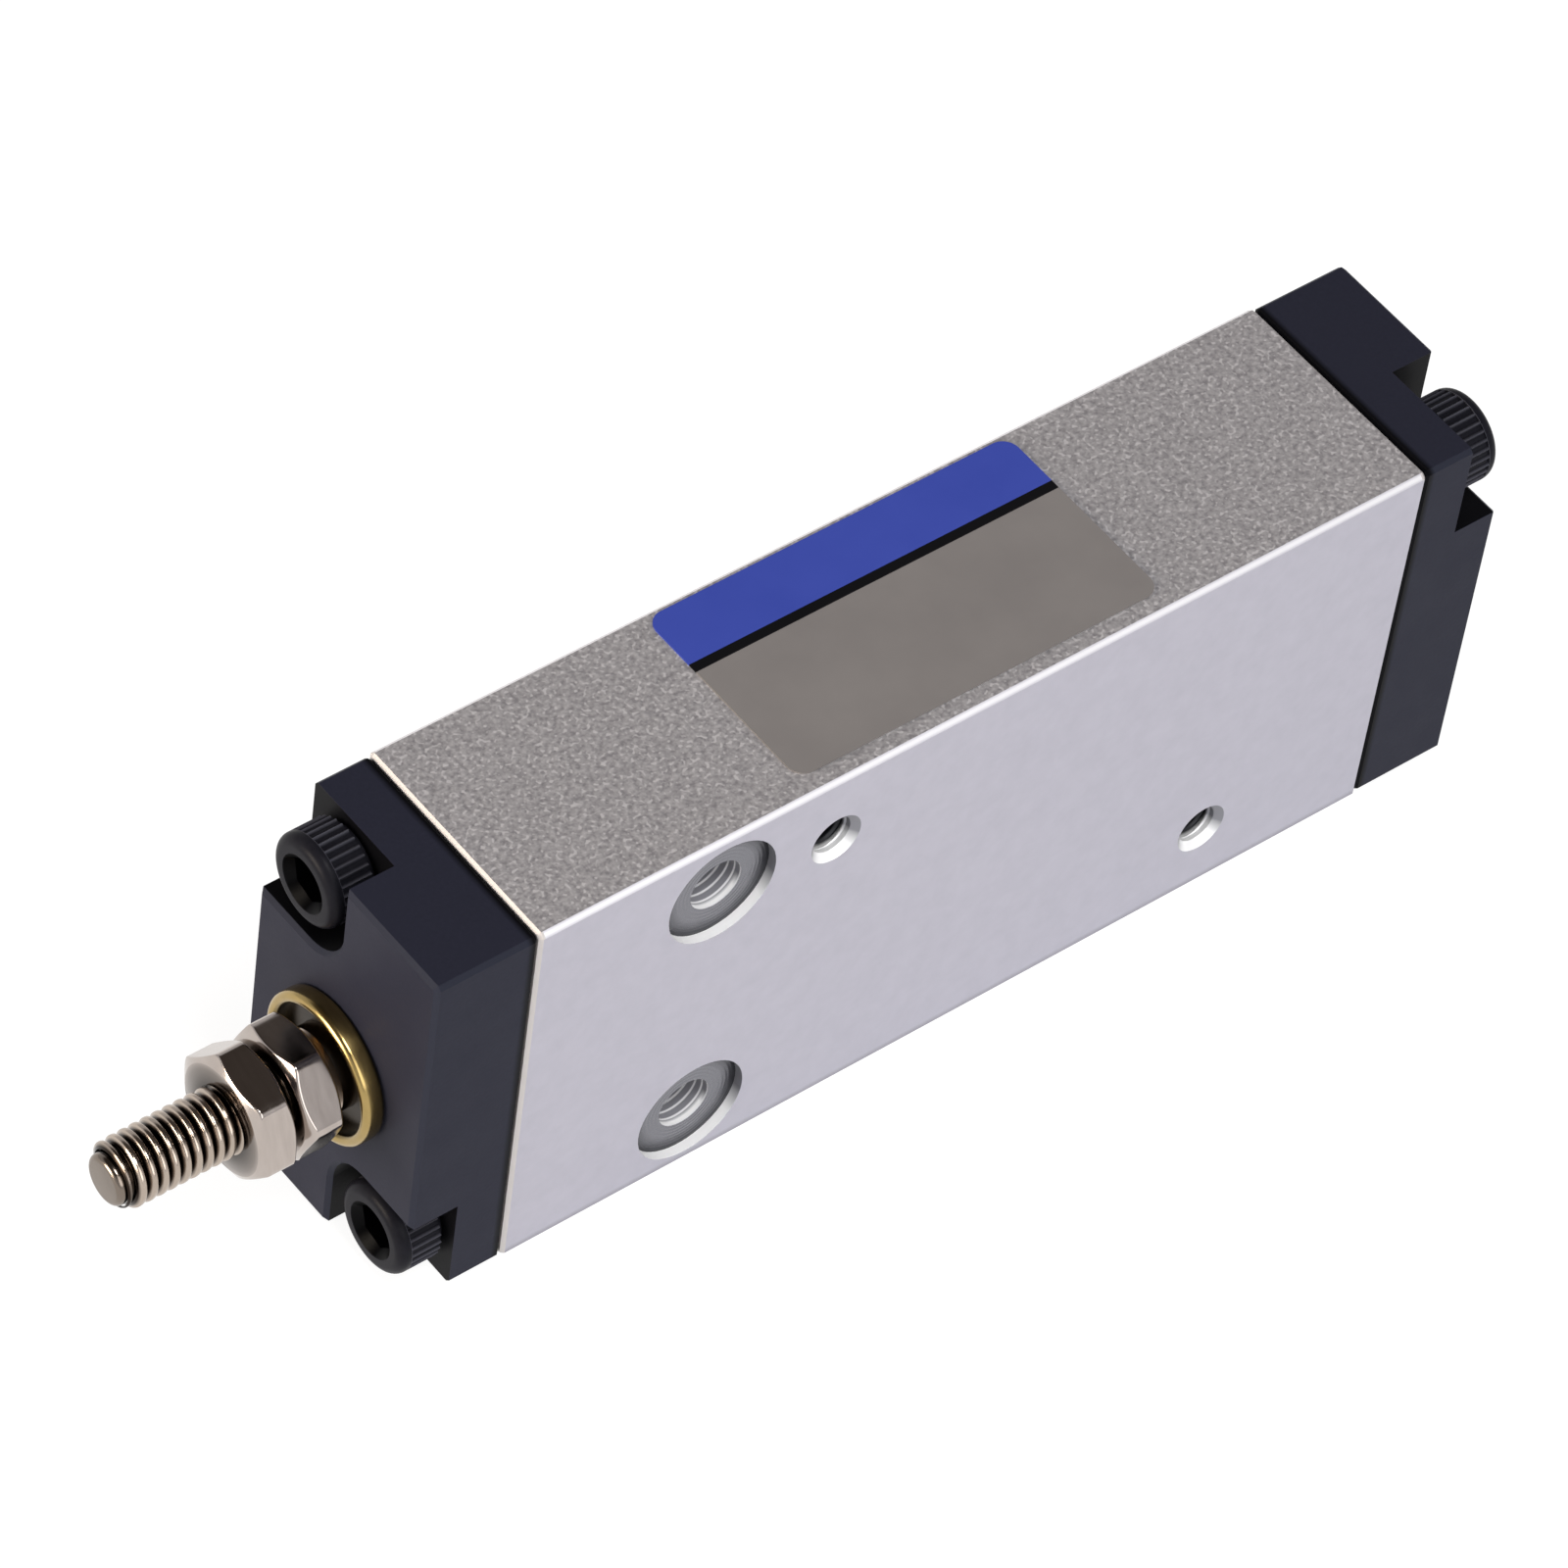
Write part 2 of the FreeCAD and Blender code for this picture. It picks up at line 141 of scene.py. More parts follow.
# Named inputs of the geometry trees: sizes of a ridge and of a screw, and the row that either is set in
RIDGE_SIZES = [(label, "Float") for label in ("Radius", "Height", "Pitch", "Turns", "Fade")]
SCREW_SIZES = [(label, "Float") for label in (
    "Head Radius", "Ridge Size", "Ridge Start", "Ridge Length", "Thread Radius", "Thread Height", "Pitch",
    "Turns", "Shank Length")]
ROW_INPUTS = [("Turn", "Vector"), ("First Place", "Vector"), ("Step", "Vector"), ("Finish", "Material")]

# Rod: its thread's crest and root, the rounding of its tip, and where the painted shade in its roots ends
ROD_CREST = MOUNTS["rod_thread"]["dims"]["r_mm"] * MM
ROD_ROOT = ROD_CREST - THREAD_DEPTH_SHARE * ROD_PITCH
ROD_SIDES = 96
TIP_ROUND = 0.35 * MM
TIP_UNSHADED = 0.45
SHADE_MARGIN = 0.1 * MM

# Cover screws: a turned head with a knurled band and a hexagon socket, and a threaded shank
HEAD_RADIUS = 2.75 * MM
HEAD_HEIGHT = 3.0 * MM
HEAD_RIM = 0.62 * MM
SHANK_RADIUS = 1.5 * MM
SHANK_LENGTH = 10.0 * MM
SHANK_CHAMFER = 0.2 * MM
SHANK_ROOT = SHANK_RADIUS - THREAD_DEPTH_SHARE * SCREW_PITCH
THREAD_LENGTH = 9.0 * MM
THREAD_START = 0.3 * MM
SOCKET_WIDTH = 2.5 * MM
SOCKET_DEPTH = 1.5 * MM
SOCKET_POINT = 0.25 * MM
SOCKET_CHAMFER = 0.3 * MM
SOCKET_CHAMFER_DEPTH = 0.5 * MM
SOCKET_MOUTH = SOCKET_WIDTH / math.sqrt(3) + SOCKET_CHAMFER
KNURL_RIDGES = 32
KNURL_SIZE = 0.24 * MM
KNURL_ROOT_SHARE = 0.6
KNURL_START = 0.35 * MM
KNURL_LENGTH = 1.9 * MM
KNURL_END = KNURL_START + KNURL_LENGTH
NECK_DEPTH = 0.35 * MM
NECK_SLOPE = 0.15 * MM
SCREW_SIDES = 72

# Places of the cover screws from the middle of the tube, and the pockets round their heads
SCREW_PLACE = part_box("rod_cover_screws")[1] - TUBE_MIDDLE - Vector((HEAD_HEIGHT, HEAD_RADIUS, HEAD_RADIUS))
COVER_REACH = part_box("rod_cover")[1] - TUBE_MIDDLE
COVER_CHAMFER = 0.25 * MM
POCKET_GAP = Vector((0.0, 0.85 * MM, 0.75 * MM))

# Lock nuts: width across flats, the flat of each face, and the hole as a share of the rod's radius
NUT_WIDTH = 7.0 * MM
NUT_FACE_RADIUS = 3.25 * MM
NUT_CHAMFER_ANGLE = math.radians(30)
NUT_EDGE = 0.1 * MM
NUT_COUNTERSINK = 0.25 * MM
NUT_HOLE_SHARE = 0.7
NUT_STEPS = 12
NUT_SIDES = 180

# Rod bush: where it goes into the cover, its bore's clearance and the recess in its collar
BUSH_RADIUS = 3.75 * MM
BUSH_CLEARANCE = 0.02 * MM
BUSH_RECESS_RADIUS = 3.8 * MM
BUSH_RECESS_DEPTH = 0.9 * MM
BUSH_BACK_ROUND = 0.3 * MM
BUSH_SHADE_RIM = 0.2 * MM
BUSH_SIDES = 128

# Label print, measured from the label's edge on the seat face's side
BAND_WIDTH = 3.83 * MM
LINE_WIDTH = 0.62 * MM
BAND_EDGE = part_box("label_film")[0].y + BAND_WIDTH
LINE_EDGE = BAND_EDGE + LINE_WIDTH

# Studio: the floor, the heights between which pale walls turn to a dim ceiling, and the lamps
FLOOR_REACH = 2.0
FLOOR_GLOW = 1.12
FLOOR_GLOW_SHARE = 0.8
WALL_TOP = 0.42
CEILING_EDGE = 0.62
LAMPS = [
    # Name, place, width, power and tint
    ("right_softbox", (0.05, 0.6, 0.32), 0.5, 1.9, "#FFFFFF"),
    ("front_softbox", (0.6, -0.13, 0.11), 0.3, 4.6, "#FFF0DC"),
    ("top_softbox", (0.05, 0.26, 0.64), 0.2, 2.3, "#FFFFFF"),
]

# Camera, where the edges and holes of the tube in the photograph put it
SENSOR_WIDTH_MM = 36.0
LENS_MM = 199.69
NEAREST_VIEW = 0.01
CAMERA_PLACE = Vector((0.222375, 0.226666, 0.350623))
CAMERA_RIGHT = Vector((-0.785676, 0.610221, 0.101701))
CAMERA_UP = Vector((-0.408804, -0.635509, 0.654987))


def linear(colour):
    """Turn an sRGB hex colour into linear RGBA."""
    channels = [int(colour[start:start + 2], 16) / 255 for start in (1, 3, 5)]
    return [c / 12.92 if c <= 0.04045 else ((c + 0.055) / 1.055) ** 2.4 for c in channels] + [1.0]


def add(tree, kind, inputs=None, **settings):
    """Add a node with its settings, and set its inputs to values or link them.

    A node given for an input is linked by its first output that is in use, and a text is a hex colour.
    """
    node = tree.nodes.new(kind)
    for name, value in settings.items():
        setattr(node, name, value)
    for key, value in (inputs or {}).items():
        if isinstance(value, bpy.types.Node):
            value = next(socket for socket in value.outputs if socket.enabled)
        if isinstance(value, bpy.types.NodeSocket):
            tree.links.new(value, node.inputs[key])
        else:
            node.inputs[key].default_value = linear(value) if isinstance(value, str) else value
    return node


def layered(tree, colour, layers):
    """Lay colours over a first one, each by its own share."""
    for share, over in layers:
        colour = add(tree, "ShaderNodeMix", {SHARE: share, FIRST: colour, SECOND: over}, data_type="RGBA")
    return colour


def empty_tree(owner):
    """Give a material or a world a tree without nodes, and return the tree."""
    owner.use_nodes = True
    owner.node_tree.nodes.clear()
    return owner.node_tree


def new_finish(name):
    """Start a material: return it, its tree, and the coordinates of places on the surface."""
    finish = bpy.data.materials.new(name)
    tree = empty_tree(finish)
    return finish, tree, add(tree, "ShaderNodeTexCoord").outputs


def from_middle(tree, place):
    """Return a point's offset from the tube's middle, and that offset without its signs."""
    offset = add(tree, "ShaderNodeVectorMath", {0: place["Object"], 1: TUBE_MIDDLE}, operation="SUBTRACT")
    return offset, add(tree, "ShaderNodeVectorMath", {0: offset}, operation="ABSOLUTE")


def from_axis(tree, offset):
    """Return how far an offset leads away from the X axis."""
    spoke = add(tree, "ShaderNodeVectorMath", {0: offset, 1: (0.0, 1.0, 1.0)}, operation="MULTIPLY")
    return add(tree, "ShaderNodeVectorMath", {0: spoke}, operation="LENGTH")


def blasted_grain(tree, place):
    """Blasted faces: a sparkling grain with pale flecks in it. Return its height and colour."""
    grain = add(tree, "ShaderNodeTexNoise", {
        "Vector": place["Object"], "Scale": 1 / BLAST_GRAIN, "Detail": 1.5, "Roughness": 0.7})
    pale = add(tree, "ShaderNodeMapRange", {"Value": grain, "From Min": 0.3, "From Max": 0.7})
    fleck = add(tree, "ShaderNodeTexNoise", {
        "Vector": place["Object"], "Scale": 1 / BLAST_FLECK, "Detail": 0.0})
    flecked = add(tree, "ShaderNodeMapRange", {
        "Value": fleck, "From Min": 0.6, "From Max": 0.74, "To Max": 0.8})
    return grain, layered(tree, "#8D8A8D", [(pale, "#BBB8BA"), (flecked, "#D3D0D2")])


def satin_face(tree, place, spot):
    """Satin faces: a colour with faint cloudiness, and painted shade in a narrow border along the lower
    edges.
    """
    cloud = add(tree, "ShaderNodeTexNoise", {
        "Vector": place["Object"], "Scale": 1 / SATIN_CLOUD, "Detail": 3.0, "Roughness": 0.6})
    satin = add(tree, "ShaderNodeMix", {
        SHARE: cloud, FIRST: "#ABA9B4", SECOND: "#B7B5C0"}, data_type="RGBA")
    # Painted shade: each wide face darkens in a narrow border along its lower edge
    height = add(tree, "ShaderNodeMath", {0: spot["Z"], 1: TUBE_HALF.z}, operation="ADD")
    above_low_shade = add(tree, "ShaderNodeMapRange", {
        "Value": height, "From Min": LOW_SHADE_START, "From Max": LOW_SHADE_END})
    return add(tree, "ShaderNodeMix", {
        SHARE: above_low_shade, FIRST: "#7D7C84", SECOND: satin}, data_type="RGBA")


def from_through_hole(tree, spot):
    """Return a point's distance from the axis of the nearer through hole."""
    holes = MOUNTS["through_holes"]
    hole_x = holes["pos_m"][0] - TUBE_MIDDLE.x
    hole_z = holes["dims"]["spacing_y_mm"] / 2 * MM
    along = add(tree, "ShaderNodeMath", {0: spot["X"], 1: hole_x}, operation="SUBTRACT")
    up_or_down = add(tree, "ShaderNodeMath", {0: spot["Z"]}, operation="ABSOLUTE")
    across = add(tree, "ShaderNodeMath", {0: up_or_down, 1: hole_z}, operation="SUBTRACT")
    spoke = add(tree, "ShaderNodeCombineXYZ", {"X": along, "Z": across})
    return add(tree, "ShaderNodeVectorMath", {0: spoke}, operation="LENGTH")


def turned_spot_face(tree, radius):
    """Spot faces: turned rings round the holes, and painted shade towards the rim. Return their height and
    colour.
    """
    wave = add(tree, "ShaderNodeMath", {0: radius, 1: math.tau / TURNED_RING}, operation="MULTIPLY")
    rings = add(tree, "ShaderNodeMath", {0: wave}, operation="SINE")
    # Painted shade: each spot face darkens towards its rim
    rim = add(tree, "ShaderNodeMapRange", {
        "Value": radius, "From Min": SPOT_SHADE_RADIUS, "From Max": SPOT_FACE_RADIUS})
    colour = add(tree, "ShaderNodeMix", {SHARE: rim, FIRST: "#77777D", SECOND: "#303136"}, data_type="RGBA")
    return rings, colour


def cut_hole(tree, spot, inset, radius, painted_lip_light):
    """Cut metal in the holes: lower lips painted bright as lit, painted glints in the spot-faced ends,
    painted shade deeper in.
    """
    depth = add(tree, "ShaderNodeMath", {0: inset["Y"], 1: inset["Z"]}, operation="MINIMUM")
    # Painted shade: past the lit depth the walls darken, almost black in the other holes and mid grey in the
    # through holes
    deep_shade = add(tree, "ShaderNodeMapRange", {"Value": depth, "From Min": LIT_DEPTH, "From Max": SHADED_DEPTH})
    # Painted glints: bright lines across the walls in the through holes' spot-faced ends
    wave = add(tree, "ShaderNodeMath", {0: depth, 1: math.tau / GLINT_SPACING}, operation="MULTIPLY")
    glint_wave = add(tree, "ShaderNodeMath", {0: wave}, operation="SINE")
    glint_line = add(tree, "ShaderNodeMapRange", {"Value": glint_wave, "From Min": 0.45, "From Max": 0.9})
    through = add(tree, "ShaderNodeMath", {0: radius, 1: THROUGH_RADIUS}, operation="LESS_THAN")
    spot_faced = add(tree, "ShaderNodeMath", {0: spot["Y"], 1: 0.0}, operation="GREATER_THAN")
    glint_end = add(tree, "ShaderNodeMath", {0: through, 1: spot_faced}, operation="MULTIPLY")
    painted_glint = add(tree, "ShaderNodeMath", {0: glint_line, 1: glint_end}, operation="MULTIPLY")
    inner = add(tree, "ShaderNodeMix", {
        SHARE: through, FIRST: "#1C1D22", SECOND: "#8C8C92"}, data_type="RGBA")
    # Painted light: lips whose walls face up are painted white, as lit from above
    lip = add(tree, "ShaderNodeMix", {
        SHARE: painted_lip_light, FIRST: "#85858B", SECOND: "#FFFFFF"}, data_type="RGBA")
    return layered(tree, lip, [(deep_shade, inner), (painted_glint, "#F6F5F7")])


def long_edge_highlight(tree, inset):
    """Long cut edges: a colour with a painted highlight, a bright line along the middle of each chamfer."""
    apart = add(tree, "ShaderNodeMath", {0: inset["Y"], 1: inset["Z"]}, operation="SUBTRACT")
    off_middle = add(tree, "ShaderNodeMath", {0: apart}, operation="ABSOLUTE")
    beside = add(tree, "ShaderNodeMapRange", {
        "Value": off_middle, "From Min": EDGE_HIGHLIGHT_LINE, "From Max": EDGE_BAND})
    return add(tree, "ShaderNodeMix", {
        SHARE: beside, FIRST: "#EEEDF0", SECOND: "#C3C1CA"}, data_type="RGBA")


def natural_anodised_tube():
    """Natural anodised extrusion: satin wide faces, grainy blasted narrow ones, bright cut edges, painted
    light and shade.
    """
    finish, tree, place = new_finish("natural_anodised_aluminium")
    normal = add(tree, "ShaderNodeSeparateXYZ", {"Vector": place["Normal"]}).outputs
    offset, reach = from_middle(tree, place)
    spot = add(tree, "ShaderNodeSeparateXYZ", {"Vector": offset}).outputs
    below = add(tree, "ShaderNodeVectorMath", {0: TUBE_HALF, 1: reach}, operation="SUBTRACT")
    inset = add(tree, "ShaderNodeSeparateXYZ", {"Vector": below}).outputs

    # Outer faces are square to their axis and lie outermost, and the spot faces lie under the wide ones
    facing = {}
    outer = {}
    for axis in "YZ":
        squareness = add(tree, "ShaderNodeMath", {0: normal[axis]}, operation="ABSOLUTE")
        facing[axis] = add(tree, "ShaderNodeMath", {0: squareness, 1: SQUARE_ON}, operation="GREATER_THAN")
        outside = add(tree, "ShaderNodeMath", {0: inset[axis], 1: FACE_MARGIN}, operation="LESS_THAN")
        outer[axis] = add(tree, "ShaderNodeMath", {0: facing[axis], 1: outside}, operation="MULTIPLY")
    sunk = add(tree, "ShaderNodeMath", {0: facing["Y"], 1: outer["Y"]}, operation="SUBTRACT")
    near = {}
    for axis in "XYZ":
        near[axis] = add(tree, "ShaderNodeMath", {0: inset[axis], 1: EDGE_BAND}, operation="LESS_THAN")
    long_edge = add(tree, "ShaderNodeMath", {0: near["Y"], 1: near["Z"]}, operation="MULTIPLY")

    grain, grainy = blasted_grain(tree, place)
    satin = satin_face(tree, place, spot)
    radius = from_through_hole(tree, spot)
    rings, turned = turned_spot_face(tree, radius)
    # Painted highlight: a bright line along the middle of each long chamfer
    edge = long_edge_highlight(tree, inset)
    # Painted light: the more a wall faces up, the brighter its lip is painted
    painted_lip_light = add(tree, "ShaderNodeMapRange", {"Value": normal["Z"], "From Min": 0.15, "From Max": 0.6})
    cut = cut_hole(tree, spot, inset, radius, painted_lip_light)
    colour = layered(tree, cut, [
        (long_edge, edge), (near["X"], "#CBC6C4"), (outer["Z"], grainy), (outer["Y"], satin), (sunk, turned)])

    # The spot faces shine like bare metal, and their lower lips, painted bright as lit, lose their metal
    # shine
    in_spot = add(tree, "ShaderNodeMath", {
        0: radius, 1: SPOT_FACE_RADIUS + FACE_MARGIN}, operation="LESS_THAN")
    painted_spot_lip_light = add(tree, "ShaderNodeMath", {0: painted_lip_light, 1: in_spot}, operation="MULTIPLY")
    skin = add(tree, "ShaderNodeMapRange", {"Value": painted_spot_lip_light, "To Min": 0.4, "To Max": 0.0})
    metal = add(tree, "ShaderNodeMapRange", {"Value": sunk, "To Min": skin, "To Max": 0.85})
    rough = add(tree, "ShaderNodeMapRange", {"Value": sunk, "To Min": 0.46, "To Max": 0.26})
    grain_height = add(tree, "ShaderNodeMath", {0: grain, 1: outer["Z"]}, operation="MULTIPLY")
    in_rings = add(tree, "ShaderNodeMath", {0: rings, 1: sunk}, operation="MULTIPLY")
    ring_height = add(tree, "ShaderNodeMath", {0: in_rings, 1: RING_HEIGHT}, operation="MULTIPLY")
    height = add(tree, "ShaderNodeMath", {0: grain_height, 1: ring_height}, operation="ADD")
    bump = add(tree, "ShaderNodeBump", {"Height": height, "Strength": 0.5, "Distance": 0.06 * MM})
    shader = add(tree, "ShaderNodeBsdfPrincipled", {
        "Base Color": colour, "Metallic": metal, "Roughness": rough, "Normal": bump})
    add(tree, "ShaderNodeOutputMaterial", {"Surface": shader})
    return finish


def in_screw_pocket(tree, offset, reach):
    """Return 1 in the pockets round the cover screws, which lie on one diagonal of each cover, else 0."""
    skin = Vector((SKIN, SKIN, SKIN))
    low = SCREW_PLACE - Vector((0.0, HEAD_RADIUS, HEAD_RADIUS)) - POCKET_GAP - skin
    high = COVER_REACH - Vector((COVER_CHAMFER, 0.0, 0.0)) - skin
    past_low = add(tree, "ShaderNodeVectorMath", {0: reach, 1: low}, operation="SUBTRACT")
    to_high = add(tree, "ShaderNodeVectorMath", {0: high, 1: reach}, operation="SUBTRACT")
    margin = add(tree, "ShaderNodeVectorMath", {0: past_low, 1: to_high}, operation="MINIMUM")
    margins = add(tree, "ShaderNodeSeparateXYZ", {"Vector": margin}).outputs
    least = add(tree, "ShaderNodeMath", {0: margins["X"], 1: margins["Y"]}, operation="MINIMUM")
    least = add(tree, "ShaderNodeMath", {0: least, 1: margins["Z"]}, operation="MINIMUM")
    inside = add(tree, "ShaderNodeMath", {0: least, 1: 0.0}, operation="GREATER_THAN")
    side = add(tree, "ShaderNodeSeparateXYZ", {"Vector": offset}).outputs
    diagonal = add(tree, "ShaderNodeMath", {0: side["Y"], 1: side["Z"]}, operation="MULTIPLY")
    diagonal = add(tree, "ShaderNodeMath", {0: diagonal, 1: side["X"]}, operation="MULTIPLY")
    screw_side = add(tree, "ShaderNodeMath", {0: diagonal, 1: 0.0}, operation="LESS_THAN")
    return add(tree, "ShaderNodeMath", {0: inside, 1: screw_side}, operation="MULTIPLY")


def black_anodised_cover():
    """Black anodised aluminium: matt, a little blue, with a fine blasted grain that catches soft light.

    The chamfers carry a paler painted highlight, and the pockets and the joint to the tube carry
    near-black painted shade.
    """
    finish, tree, place = new_finish("black_anodised_aluminium")
    grain = add(tree, "ShaderNodeTexNoise", {
        "Vector": place["Object"], "Scale": 1 / COVER_GRAIN, "Detail": 3.0, "Roughness": 0.6})
    cloud = add(tree, "ShaderNodeTexNoise", {
        "Vector": place["Object"], "Scale": 1 / COVER_CLOUD, "Detail": 2.0})
    facing = add(tree, "ShaderNodeVectorMath", {0: place["Normal"]}, operation="ABSOLUTE")
    square = add(tree, "ShaderNodeSeparateXYZ", {"Vector": facing}).outputs
    most = add(tree, "ShaderNodeMath", {0: square["X"], 1: square["Y"]}, operation="MAXIMUM")
    most = add(tree, "ShaderNodeMath", {0: most, 1: square["Z"]}, operation="MAXIMUM")
    # Painted highlight: chamfers, which face no axis squarely, are painted paler
    chamfer = add(tree, "ShaderNodeMath", {0: most, 1: SLANTED}, operation="LESS_THAN")
    offset, reach = from_middle(tree, place)
    # Painted shade, almost black, in the screw pockets and along the joint to the tube
    pocket_shade = in_screw_pocket(tree, offset, reach)
    along = add(tree, "ShaderNodeSeparateXYZ", {"Vector": reach}).outputs["X"]
    joint = add(tree, "ShaderNodeMapRange", {
        "Value": along, "From Min": TUBE_HALF.x + JOINT_DARK, "From Max": TUBE_HALF.x + JOINT_UNSHADED,
        "To Min": 1.0, "To Max": 0.0})
    colour = layered(tree, "#1F202B", [
        (grain, "#2A2B38"), (cloud, "#242531"), (chamfer, "#282A35"), (pocket_shade, "#060609"),
        (joint, "#050508")])
    rough = add(tree, "ShaderNodeMapRange", {"Value": cloud, "To Min": 0.44, "To Max": 0.56})
    bump = add(tree, "ShaderNodeBump", {"Height": grain, "Strength": 0.25, "Distance": 0.02 * MM})
    shader = add(tree, "ShaderNodeBsdfPrincipled", {
        "Base Color": colour, "Roughness": rough, "Specular IOR Level": 0.07, "Normal": bump})
    add(tree, "ShaderNodeOutputMaterial", {"Surface": shader})
    return finish


def shaded_near_axis(tree, place, metal, painted_shade, dark_radius, unshaded_radius, end_x=CAD_HIGH.x, face_share=1.0):
    """Darken a metal's colour with painted shade near the rod's axis, as in the roots of a thread.

    The metal is unshaded from the unshaded radius outwards. Past end_x part of it is unshaded at any
    radius, and faces square to the axis show only a share of their unshaded metal.
    """
    spot = add(tree, "ShaderNodeVectorMath", {
        0: place["Object"], 1: (0.0, AXIS_Y, 0.0)}, operation="SUBTRACT")
    outward = add(tree, "ShaderNodeMapRange", {
        "Value": from_axis(tree, spot), "From Min": dark_radius, "From Max": unshaded_radius})
    along = add(tree, "ShaderNodeSeparateXYZ", {"Vector": spot}).outputs["X"]
    end = add(tree, "ShaderNodeMapRange", {
        "Value": along, "From Min": end_x - SKIN, "From Max": end_x, "To Max": TIP_UNSHADED})
    normal = add(tree, "ShaderNodeSeparateXYZ", {"Vector": place["Normal"]}).outputs
    squareness = add(tree, "ShaderNodeMath", {0: normal["X"]}, operation="ABSOLUTE")
    face = add(tree, "ShaderNodeMapRange", {
        "Value": squareness, "From Min": SQUARE_ON, "From Max": FULLY_SQUARE,
        "To Min": 1.0, "To Max": face_share})
    unshaded = add(tree, "ShaderNodeMath", {0: outward, 1: face}, operation="MULTIPLY")
    unshaded = add(tree, "ShaderNodeMath", {0: unshaded, 1: end}, operation="MAXIMUM")
    return add(tree, "ShaderNodeMix", {SHARE: unshaded, FIRST: painted_shade, SECOND: metal}, data_type="RGBA")


def turned_metal(name, dark, light, roughness, streak, painted_shade=None):
    """Bare or plated metal with faint streaks round the axis that it was turned about.

    The streak is their width. painted_shade holds what shaded_near_axis() is told, for shade near the axis.
    """
    finish, tree, place = new_finish(name)
    stretch = add(tree, "ShaderNodeMapping", {
        "Vector": place["Object"], "Scale": (1 / streak, STREAK_STRETCH / streak, STREAK_STRETCH / streak)})
    streaks = add(tree, "ShaderNodeTexNoise", {
        "Vector": stretch, "Scale": 1.0, "Detail": 3.0, "Roughness": 0.6})
    colour = add(tree, "ShaderNodeMix", {SHARE: streaks, FIRST: dark, SECOND: light}, data_type="RGBA")
    if painted_shade:
        colour = shaded_near_axis(tree, place, colour, **painted_shade)
    rough = add(tree, "ShaderNodeMapRange", {
        "Value": streaks, "To Min": roughness * LEAST_ROUGH, "To Max": roughness * MOST_ROUGH})
    shader = add(tree, "ShaderNodeBsdfPrincipled", {
        "Base Color": colour, "Metallic": 1.0, "Roughness": rough})
    add(tree, "ShaderNodeOutputMaterial", {"Surface": shader})
    return finish


def black_oxide_screw():
    """Black oxide steel: smooth dark heads with a faint sheen, sockets in black painted shade, knurl crests
    painted paler.
    """
    finish, tree, place = new_finish("black_oxide_steel")
    grain = add(tree, "ShaderNodeTexNoise", {
        "Vector": place["Object"], "Scale": 1 / OXIDE_GRAIN, "Detail": 3.0, "Roughness": 0.6})
    reach = from_middle(tree, place)[1]
    in_screw = add(tree, "ShaderNodeVectorMath", {0: reach, 1: SCREW_PLACE}, operation="SUBTRACT")
    radius = from_axis(tree, in_screw)
    # Painted shade: the socket is painted almost black
    socket = add(tree, "ShaderNodeMapRange", {
        "Value": radius, "From Min": SOCKET_MOUTH - 2 * SKIN, "From Max": SOCKET_MOUTH + SKIN,
        "To Min": 1.0, "To Max": 0.0})
    # Painted highlight: the knurl's crests are painted paler
    crest = add(tree, "ShaderNodeMapRange", {
        "Value": radius, "From Min": HEAD_RADIUS - KNURL_SIZE / 2, "From Max": HEAD_RADIUS})
    up_head = add(tree, "ShaderNodeSeparateXYZ", {"Vector": in_screw}).outputs["X"]
    in_band = add(tree, "ShaderNodeMath", {0: up_head, 1: KNURL_END + SKIN}, operation="LESS_THAN")
    crest_highlight = add(tree, "ShaderNodeMath", {0: crest, 1: in_band}, operation="MULTIPLY")
    colour = layered(tree, "#141419", [(grain, "#1D1D23"), (socket, "#030304"), (crest_highlight, "#4A4A52")])
    rough = add(tree, "ShaderNodeMapRange", {"Value": grain, "To Min": 0.28, "To Max": 0.42})
    shader = add(tree, "ShaderNodeBsdfPrincipled", {
        "Base Color": colour, "Roughness": rough, "Specular IOR Level": 0.05})
    add(tree, "ShaderNodeOutputMaterial", {"Surface": shader})
    return finish


def moulded(name, dark, light, roughness, grain_size):
    """Moulded rubber or plastic: an even colour with a fine skin, its roughness between two values."""
    finish, tree, place = new_finish(name)
    grain = add(tree, "ShaderNodeTexNoise", {
        "Vector": place["Object"], "Scale": 1 / grain_size, "Detail": 3.0, "Roughness": 0.6})
    colour = add(tree, "ShaderNodeMix", {SHARE: grain, FIRST: dark, SECOND: light}, data_type="RGBA")
    rough = add(tree, "ShaderNodeMapRange", {"Value": grain, "To Min": roughness[0], "To Max": roughness[1]})
    bump = add(tree, "ShaderNodeBump", {"Height": grain, "Strength": 0.2, "Distance": 0.02 * MM})
    shader = add(tree, "ShaderNodeBsdfPrincipled", {"Base Color": colour, "Roughness": rough, "Normal": bump})
    add(tree, "ShaderNodeOutputMaterial", {"Surface": shader})
    return finish


